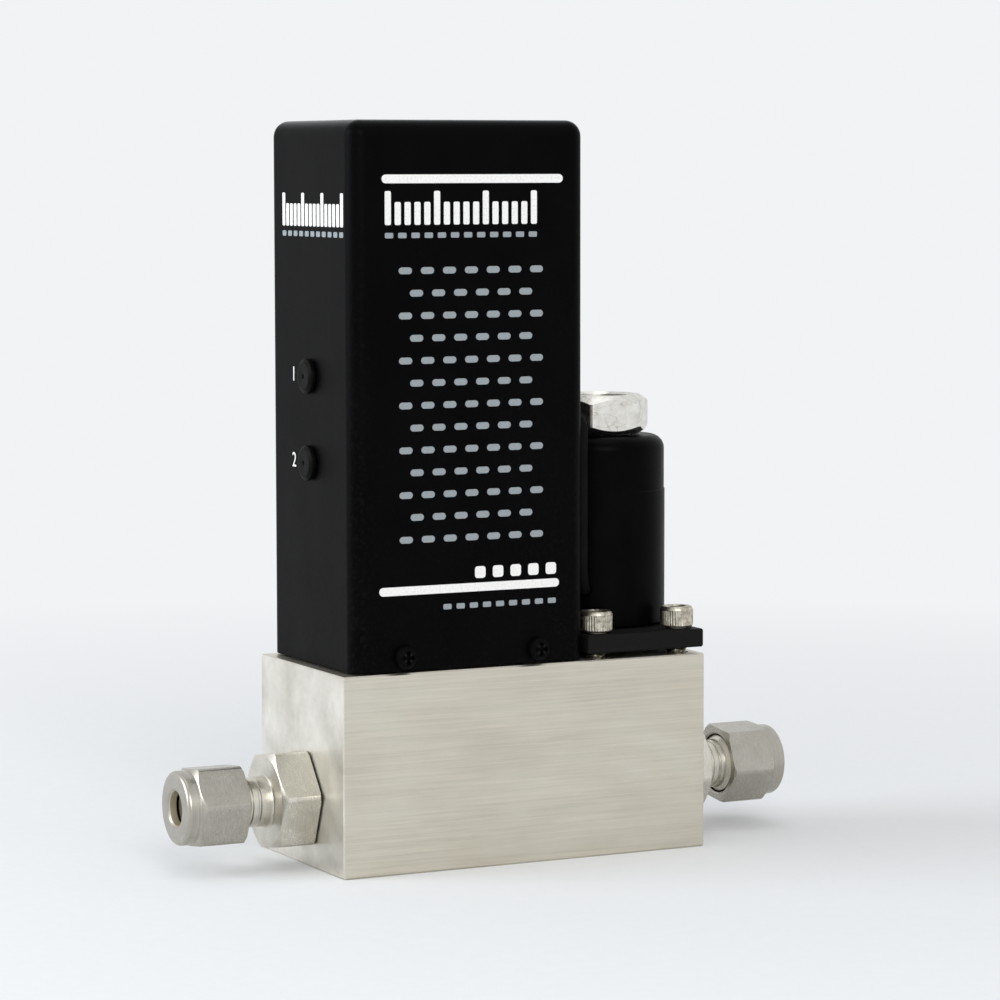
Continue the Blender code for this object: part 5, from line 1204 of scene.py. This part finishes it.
class CONTROLLER_OT_valve(bpy.types.Operator):
    """Build the coil's shell, the top nut and the stem, and finish what is inside"""

    bl_idname = "controller.valve"
    bl_label = "Solenoid valve"

    def execute(self, context):
        self.build_coil_shell()
        self.build_top_nut()
        self.build_stem()
        dress("coil_enamelled_winding", "valve_coil")
        dress("turned_valve_stainless", "valve_plunger", "valve_seat", "laminar_element")
        self.build_spring()
        return {"FINISHED"}

    def build_coil_shell(self):
        radius = (COIL_HIGH.x - COIL_LOW.x) / 2
        bore, inside, wrapped = STEM_THREAD[0] / 2 + RUNNING_GAP, radius - COIL_WALL, radius - COIL_WRAP
        top, bottom = COIL_HIGH.z, COIL_LOW.z
        wrap = top - COIL_WRAP_DROP
        outline = eased([
            (bore, top), (wrapped, top, COIL_RIM), (wrapped, wrap), (radius, wrap - COIL_WRAP),
            (radius, bottom, 0.3), (inside, bottom), (inside, top - COIL_WALL, 1.0), (bore, top - COIL_WALL),
        ])
        shell = new_object("coil_shell", turned(outline, 2 * ROUND_STEPS), placed((VALVE_X, 0, 0)))
        out = lead_outward().to_3d()
        start = Vector((VALVE_X, 0, LEAD_EXIT_HEIGHT)) + out * (inside - COIL_WALL)
        cut(shell, [rod(LEAD_HOLE, start, out, radius, SCREW_STEPS)])
        finish_piece(shell, "coil_epoxy", ["coil_housing"])

    def build_top_nut(self):
        corner, bore = corner_distance(VALVE_NUT_HEX), STEM_THREAD[0] / 2 + RUNNING_GAP
        flat, mouth = corner - VALVE_NUT_CHAMFER, bore + EDGE_BREAK
        top, bottom, drop = VALVE_NUT_HIGH.z, VALVE_NUT_LOW.z, VALVE_NUT_CHAMFER_DROP
        outline = eased([
            (bore, top - EDGE_BREAK), (mouth, top), (flat, top, 0.2), (corner, top - drop),
            (corner, bottom + drop), (flat, bottom, 0.2), (mouth, bottom), (bore, bottom + EDGE_BREAK),
        ])
        bm = lathed(lambda angle: hexagon_cut(outline, VALVE_NUT_HEX, angle), HEXAGON_STEPS)
        nut = new_object("top_nut", bm, placed((VALVE_X, 0, 0), turn=VALVE_NUT_TURN))
        finish_piece(nut, "plated_nut_steel", ["valve_nut"])

    def build_stem(self):
        """The stem keeps its node's flange, skirt and bore, and gets its thread and dimple."""
        tube, dimple, bore = STEM_THREAD[0] / 2, STEM_DIMPLE / 2, STEM_BORE / 2
        end, low, roof = STEM_HIGH.z, STEM_LOW.z, SPRING_HIGH.z + RUNNING_GAP
        flange, skirt = STEM_FLANGE / 2, STEM_FLANGE / 2 - STEM_SKIRT_STEP
        under = STEM_FLANGE_TOP - STEM_FLANGE_THICKNESS
        crown = eased([
            (0, end - STEM_DIMPLE_DEPTH), (dimple, end - STEM_DIMPLE_DEPTH, 0.3),
            (dimple + EDGE_BREAK, end, 0.1), (tube, end, EDGE_BREAK), (tube, end - 0.6),
        ])
        foot = [
            (tube, VALVE_NUT_LOW.z - 1.0), (tube, STEM_FLANGE_TOP), (flange, STEM_FLANGE_TOP),
            (flange, under), (skirt, under), (skirt, low), (bore, low), (bore, roof), (0, roof),
        ]

        def column(angle):
            return crown + thread(end - 0.7, VALVE_NUT_LOW.z - 0.9, STEM_THREAD, angle) + foot

        stem = new_object("stem", lathed(column, closed=False), placed((VALVE_X, 0, 0)))
        finish_piece(stem, "turned_valve_stainless", ["valve_stem"])

    def build_spring(self):
        """The closing spring, with a closed turn at each end."""
        radius = (SPRING_HIGH.x - SPRING_LOW.x - SPRING_WIRE) / 2
        height = SPRING_HIGH.z - SPRING_LOW.z
        open_rise = height - SPRING_WIRE - 2 * SPRING_CLOSED_PITCH
        points = []
        for index in range(SPRING_TURNS * SPRING_STEPS + 1):
            turn = index / SPRING_STEPS
            closed = min(turn, 1.0) + max(turn - SPRING_TURNS + 1, 0.0)
            opened = min(max((turn - 1) / (SPRING_TURNS - 2), 0.0), 1.0)
            z = SPRING_LOW.z + SPRING_WIRE / 2 + closed * SPRING_CLOSED_PITCH + opened * open_rise
            angle = TURN * turn
            points.append((VALVE_X + radius * math.cos(angle), radius * math.sin(angle), z))
        spring = wire("plunger_spring_wire", points, SPRING_WIRE)
        finish_piece(spring, "bright_screw_steel", ["plunger_spring"])
        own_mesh(spring)


class CONTROLLER_OT_flange_screws(bpy.types.Operator):
    """Build the four knurled socket screws on the valve's flange"""

    bl_idname = "controller.flange_screws"
    bl_label = "Flange screws"

    def execute(self, context):
        teeth = context.scene.controller_sizes.knurl_teeth
        for number in range(1, 5):
            node = f"flange_screw_{number}"
            low, high = box(node)
            foot = high.z - SOCKET_HEAD_HEIGHT
            column = self.screw_column((high.x - low.x) / 2, foot - low.z, teeth)
            place = placed((*middle_of(node).xy, foot))
            screw = new_object(node + "_fine", lathed(column, 6 * teeth, closed=False), place)
            finish_piece(screw, "bright_screw_steel", [node])
        return {"FINISHED"}

    def screw_column(self, head, length, teeth):
        """Hexagon socket, chamfered rim, knurled side and threaded shank."""
        depth, shank, top = size("knurl_depth"), SOCKET_THREAD[0] / 2, SOCKET_HEAD_HEIGHT
        rim = eased([(0, top), (head - 0.35, top, 0.15), (head, top - 0.6)])[1:]

        def column(angle):
            socket = flat_distance(angle, SOCKET_HEX)
            groove = head - depth * abs(2 * (angle / TURN * teeth % 1.0) - 1)
            recess = [
                (0, top - SOCKET_DEPTH - 0.5), (socket, top - SOCKET_DEPTH), (socket, top - 0.2),
                (SOCKET_MOUTH / 2, top),
            ]
            side = [
                (head, KNURL_TOP + 0.1), (groove, KNURL_TOP - 0.1), (groove, KNURL_FOOT),
                (head - 0.05, KNURL_FOOT - 0.2), (head - 0.2, 0), (shank, 0),
            ]
            helix = thread(-1.0, EDGE_BREAK - length, SOCKET_THREAD, angle)
            return recess + rim + side + helix + [(shank - EDGE_BREAK, -length), (0, -length)]

        return column


class CONTROLLER_OT_lead(bpy.types.Operator):
    """Build the coil's lead and the grommet where it enters the can"""

    bl_idname = "controller.lead"
    bl_label = "Coil lead"

    def execute(self, context):
        lead = wire("coil_lead_jacket", self.smooth_route(self.lead_route()), size("lead"))
        finish_piece(lead, "extruded_lead_rubber", ["coil_lead"])
        self.build_grommet()
        return {"FINISHED"}

    def lead_route(self):
        """Out of the coil, up beside it, over into the can's wall and down to the board."""
        axis = Vector((VALVE_X, 0))
        start, shell = (axis + lead_outward() * reach for reach in (LEAD_START, LEAD_AT_SHELL))
        x, y = LEAD_UPRIGHT
        low, high = LEAD_EXIT_HEIGHT, middle_of("lead_grommet").z
        can, inside, end = CAN_HIGH.x, CAN_HIGH.x - size("can_wall"), BOARD_HIGH.x
        route = (
            (*start, low), (*shell, low + 0.3), (x, y, low + 4), (x, y, low + 10), (x, y, high - 8),
            (x, y, high - 3), (x - 0.2, y, high - 1.4), (x - 0.8, y, high - 0.4), (can + 1.3, y, high - 0.03),
            (can + 0.7, y, high), (can - 0.6, y, high), (inside - 1.2, y, high),
            (inside - 2.4, y + 0.2, high), (end - 2.2, y + 4, high + 0.4),
            (end - 3.5, LEAD_BOARD_Y, high + 0.6), (end - 3.5, BOARD_LOW.y - RUNNING_GAP, high + 0.6),
        )
        return [Vector(point) for point in route]

    def smooth_route(self, route):
        """Points on a Catmull-Rom curve through the route's own points."""
        ends = [2 * route[0] - route[1], *route, 2 * route[-1] - route[-2]]
        points = []
        for before, start, stop, after in zip(ends, ends[1:], ends[2:], ends[3:]):
            for step in range(LEAD_STEPS):
                t = step / LEAD_STEPS
                bend = 2 * before - 5 * start + 4 * stop - after
                twist = 3 * start - before - 3 * stop + after
                points.append(start + ((stop - before) * t + bend * t * t + twist * t**3) / 2)
        points.append(route[-1])
        return points

    def build_grommet(self):
        low, high = box("lead_grommet")
        bore = (size("lead") + RUNNING_GAP) / 2
        lip = (high.z - low.z) / 2
        waist = lip - GROMMET_LIP
        outer, inner, back = high.x - CAN_HIGH.x, low.x - CAN_HIGH.x, -size("can_wall") - RUNNING_GAP
        outline = eased([
            (bore, outer), (lip, outer, 0.28), (lip, RUNNING_GAP), (waist, RUNNING_GAP),
            (waist, back), (lip, back), (lip, inner, 0.28), (bore, inner),
        ])
        place = placed((CAN_HIGH.x, *middle_of("lead_grommet").yz), (1, 0, 0))
        grommet = new_object("grommet", turned(outline), place)
        finish_piece(grommet, "extruded_lead_rubber", ["lead_grommet"])


SEALS = {
    (1, 0, 0): ("inlet_o_ring", "outlet_o_ring", "element_seal"),
    UP: ("sensor_inlet_seal", "sensor_outlet_seal", "stem_seal"),
}


class CONTROLLER_OT_seals(bpy.types.Operator):
    """Build the round O-rings"""

    bl_idname = "controller.seals"
    bl_label = "Seals"

    def execute(self, context):
        angles = [TURN * index / SEAL_STEPS for index in range(SEAL_STEPS)]
        for direction, nodes in SEALS.items():
            for node in nodes:
                low, high = box(node)
                section = (high - low).dot(Vector(direction))
                middle = (max(high - low) - section) / 2
                half = section / 2
                outline = [(middle + half * math.cos(angle), half * math.sin(angle)) for angle in angles]
                ring = new_object(node + "_fine", turned(outline), placed(middle_of(node), direction))
                finish_piece(ring, "moulded_seal_rubber", [node])
        return {"FINISHED"}


# The board's own parts. A finger's sizes are width, length and corner radius. The key slot is
# measured from the card's middle, resistors across (X) and up (Z) from the lower left corner.
FINGER_PITCH = 2.54
FINGER = (1.5, 7.5, 0.3)
FINGER_COUNT = 10
FINGER_DROP = 1.2
KEY_SLOT_X = 5.6
KEY_SLOT_ROOM = 1.6
TRACK_WIDTH = 0.5
TRACK_EASE = 0.2
TRACK_RUN = 6.0
TRACK_DROPS = (4.0, 6.2, 8.4, 10.6)
TRACK_COPPER = 0.06
RESISTOR = 2.2
RESISTOR_WAIST = 0.82
RESISTOR_LENGTH = 6.2
RESISTOR_LIFT = 0.4
RESISTOR_WIRE = 0.6
RESISTOR_BEND = 1.2
WIRE_EASE = 0.2
RESISTORS = ((14.5, 29.0), (18.5, 29.0), (22.5, 29.0), (14.5, 16.0), (25.5, 44.5))
SOLDER_CONE = ((0, 0.5), (0.4, 0.45, 0.2), (0.9, 0), (0, 0))


class CONTROLLER_OT_board(bpy.types.Operator):
    """Finish the board and its parts, and add tracks, gold fingers, solder and resistors"""

    bl_idname = "controller.board"
    bl_label = "Circuit board"

    def execute(self, context):
        dress("masked_glass_laminate", "circuit_board")
        dress("rolled_aluminium", "board_bracket")
        dress("moulded_trimmer_plastic", "span_trimmer", "zero_trimmer")
        dress("turned_brass", "span_trimmer_screw", "zero_trimmer_screw")
        dress("chip_epoxy", "amplifier_chip")
        dress("transistor_epoxy", "drive_transistor")
        dress("capacitor_sleeve", "filter_capacitor")
        self.build_copper()
        self.build_resistors()
        return {"FINISHED"}

    def build_copper(self):
        """Gold fingers on both sides of the card edge, and tracks that run down from them."""
        fingers, tracks = [], []
        middle = BOARD_HIGH.z - FINGER_DROP - FINGER[1] / 2
        start = middle - FINGER[1] / 2
        for index in range(FINGER_COUNT):
            x = (index - (FINGER_COUNT - 1) / 2) * FINGER_PITCH
            if abs(x - KEY_SLOT_X) < KEY_SLOT_ROOM:
                continue
            fingers.append(rounded_bar(*FINGER, (x, middle)))
            drop = TRACK_DROPS[index % len(TRACK_DROPS)]
            tracks.append(rounded_bar(TRACK_WIDTH, drop, TRACK_EASE, (x, start - drop / 2)))
            side = (x + (TRACK_WIDTH - TRACK_RUN) / 2, start - drop)
            tracks.append(rounded_bar(TRACK_RUN, TRACK_WIDTH, TRACK_EASE, side))
        for label, y, turn, mirror in (("front", BOARD_LOW.y, 0, 1), ("back", BOARD_HIGH.y, 180, -1)):
            place = wall((CAN_X, y, 0), turn)
            for kind, outlines, name in (
                ("fingers", fingers, "gold_plate"),
                ("tracks", tracks, "masked_copper"),
            ):
                bm = raised([[(mirror * x, z) for x, z in outline] for outline in outlines], TRACK_COPPER)
                finish_piece(new_object(f"board_{label}_{kind}", bm, place), name)

    def build_resistors(self):
        """Film resistors that stand just off the board on bent wires, with solder at their feet."""
        bodies, wires, joints = [], [], []
        radius, end, half = RESISTOR / 2, RESISTOR_LENGTH / 2, RESISTOR_WIRE / 2
        waist = radius * RESISTOR_WAIST
        outline = eased([
            (0, end), (radius, end, 0.5), (waist, end / 2), (waist, -end / 2), (radius, -end, 0.5), (0, -end)
        ])
        board = BOARD_LOW.y
        front = board - RESISTOR_LIFT - radius
        for across, up in RESISTORS:
            x, z = BOARD_LOW.x + across, BOARD_LOW.z + up
            body = turned(outline, SCREW_STEPS, closed=False)
            body.transform(Matrix.Translation((x, front, z)))
            bodies.append(body)
            for tip in (z - end - RESISTOR_BEND, z + end + RESISTOR_BEND):
                low, high = min(tip, z), max(tip, z)
                along = (x - half, front - half, low), (x + half, front + half, high)
                down = (x - half, front - half, tip - half), (x + half, board, tip + half)
                wires += [block(*along, WIRE_EASE), block(*down, WIRE_EASE)]
                joint = turned(eased(SOLDER_CONE), SCREW_STEPS, closed=False)
                joint.transform(placed((x, board, tip), (0, -1, 0)))
                joints.append(joint)
        for kind, parts, name in (
            ("bodies", bodies, "resistor_lacquer"),
            ("wires", wires, "solder"),
            ("joints", joints, "solder"),
        ):
            finish_piece(new_object("resistor_" + kind, joined(parts)), name)


class CONTROLLER_OT_sensor(bpy.types.Operator):
    """Finish the sensor's tube and cap, and build its three windings turn by turn"""

    bl_idname = "controller.sensor"
    bl_label = "Thermal sensor"

    def execute(self, context):
        dress("rolled_aluminium", "sensor_housing")
        dress("turned_fitting_stainless", "sensor_capillary")
        for node in ("upstream_winding", "heater_winding", "downstream_winding"):
            low, high = box(node)
            length = high.x - low.x
            form = (high.z - low.z, WINDING_DEPTH, WINDING_PITCH)

            def column(angle):
                return [(WINDING_CORE, length)] + thread(length, 0.0, form, angle) + [(WINDING_CORE, 0)]

            place = placed((low.x, *middle_of(node).yz), (1, 0, 0))
            winding = new_object(node + "_turns", lathed(column, SCREW_STEPS), place)
            finish_piece(winding, "fine_enamelled_winding", [node])
        return {"FINISHED"}


# Stage: the photograph's camera, and lamps placed about the object's middle, in metres
CAMERA_PLACE = (-0.31854, -0.63729, 0.13110)
CAMERA_TURN = (84.870, -0.090, -26.825)
LENS = 134.58
SENSOR = 36.0
AIM = Vector((0, 0, 0.06))
WORLD_LIGHT = 0.6
LAMPS = (
    ("left_softbox", (-0.80, 0.25, 0.35), 0.6, 4.6, "#f4f9ff"),
    ("front_softbox", (-0.22, -0.93, 0.52), 0.6, 3.4, "#ffffff"),
    ("top_softbox", (0.05, 0.0, 0.95), 0.5, 0.7, "#ffffff"),
)

# The floor, in millimetres: its radius, and where its shadow and its own light fade out
FLOOR_REACH = 6000.0
FLOOR_SHADOW = 120.0
FLOOR_FADE = 420.0


class CONTROLLER_OT_stage(bpy.types.Operator):
    """Set the floor, background, lamps and camera"""

    bl_idname = "controller.stage"
    bl_label = "Stage"

    def execute(self, context):
        bm = bmesh.new()
        bmesh.ops.create_circle(bm, cap_ends=True, segments=ROUND_STEPS, radius=FLOOR_REACH)
        floor = new_object("floor", bm)
        floor.data.materials.append(finish("matt_studio_board"))
        self.set_background(context)
        for name, place, width, power, colour in LAMPS:
            lamp = bpy.data.lights.new(name, "AREA")
            lamp.shape = "DISK"
            lamp.size = width
            lamp.energy = power
            lamp.color = hex_colour(colour)[:3]
            obj = bpy.data.objects.new(name, lamp)
            obj.matrix_world = placed(place, Vector(place) - AIM)
            context.scene.collection.objects.link(obj)
        self.set_camera(context)
        return {"FINISHED"}

    def set_background(self, context):
        """Rays that look at the background see its pale colour, and others a plain light."""
        world = bpy.data.worlds.new("studio")
        context.scene.world = world
        world.use_nodes = True
        tree = world.node_tree
        light = tree.nodes["Background"]
        feed(tree, light.inputs["Color"], "#ffffff")
        feed(tree, light.inputs["Strength"], WORLD_LIGHT)
        shown = add_node(tree, "Background", {"Color": chosen("backdrop"), "Strength": 1.0})
        mixed = add_node(tree, "MixShader", {0: seen_rays(tree), 1: light.outputs[0], 2: shown})
        feed(tree, tree.nodes["World Output"].inputs["Surface"], mixed)

    def set_camera(self, context):
        tilt, roll, pan = (math.radians(angle) for angle in CAMERA_TURN)
        camera = bpy.data.cameras.new("photograph")
        camera.sensor_width = SENSOR
        camera.lens = LENS
        obj = bpy.data.objects.new("photograph", camera)
        turns = ((pan, "Z"), (tilt, "X"), (roll, "Z"))
        heading = Matrix.Translation(CAMERA_PLACE)
        for angle, axis in turns:
            heading = heading @ Matrix.Rotation(angle, 4, axis)
        obj.matrix_world = heading
        context.scene.collection.objects.link(obj)
        context.scene.camera = obj
        context.scene.view_settings.view_transform = "Standard"


OPERATORS = (
    CONTROLLER_OT_flow_block,
    CONTROLLER_OT_fittings,
    CONTROLLER_OT_can,
    CONTROLLER_OT_can_print,
    CONTROLLER_OT_small_screws,
    CONTROLLER_OT_plugs,
    CONTROLLER_OT_valve,
    CONTROLLER_OT_flange_screws,
    CONTROLLER_OT_lead,
    CONTROLLER_OT_seals,
    CONTROLLER_OT_board,
    CONTROLLER_OT_sensor,
    CONTROLLER_OT_stage,
)


class CONTROLLER_PT_panel(bpy.types.Panel):
    """The pieces, in the order in which they are built"""

    bl_label = "Flow controller"
    bl_idname = "CONTROLLER_PT_panel"
    bl_space_type = "VIEW_3D"
    bl_region_type = "UI"
    bl_category = "Flow Controller"

    def draw(self, context):
        for group in (context.scene.controller_sizes, context.scene.controller_colours):
            for name in group.__annotations__:
                self.layout.prop(group, name)
        for operator in OPERATORS:
            self.layout.operator(operator.bl_idname)


CLASSES = (ControllerSizes, ControllerColours, *OPERATORS, CONTROLLER_PT_panel)


def register():
    for item in CLASSES:
        bpy.utils.register_class(item)
    bpy.types.Scene.controller_sizes = PointerProperty(type=ControllerSizes)
    bpy.types.Scene.controller_colours = PointerProperty(type=ControllerColours)


def unregister():
    del bpy.types.Scene.controller_colours
    del bpy.types.Scene.controller_sizes
    for item in reversed(CLASSES):
        bpy.utils.unregister_class(item)


def main():
    register()
    for operator in OPERATORS:
        group, name = operator.bl_idname.split(".")
        getattr(getattr(bpy.ops, group), name)()
    bpy.context.view_layer.update()


if __name__ == "__main__":
    main()
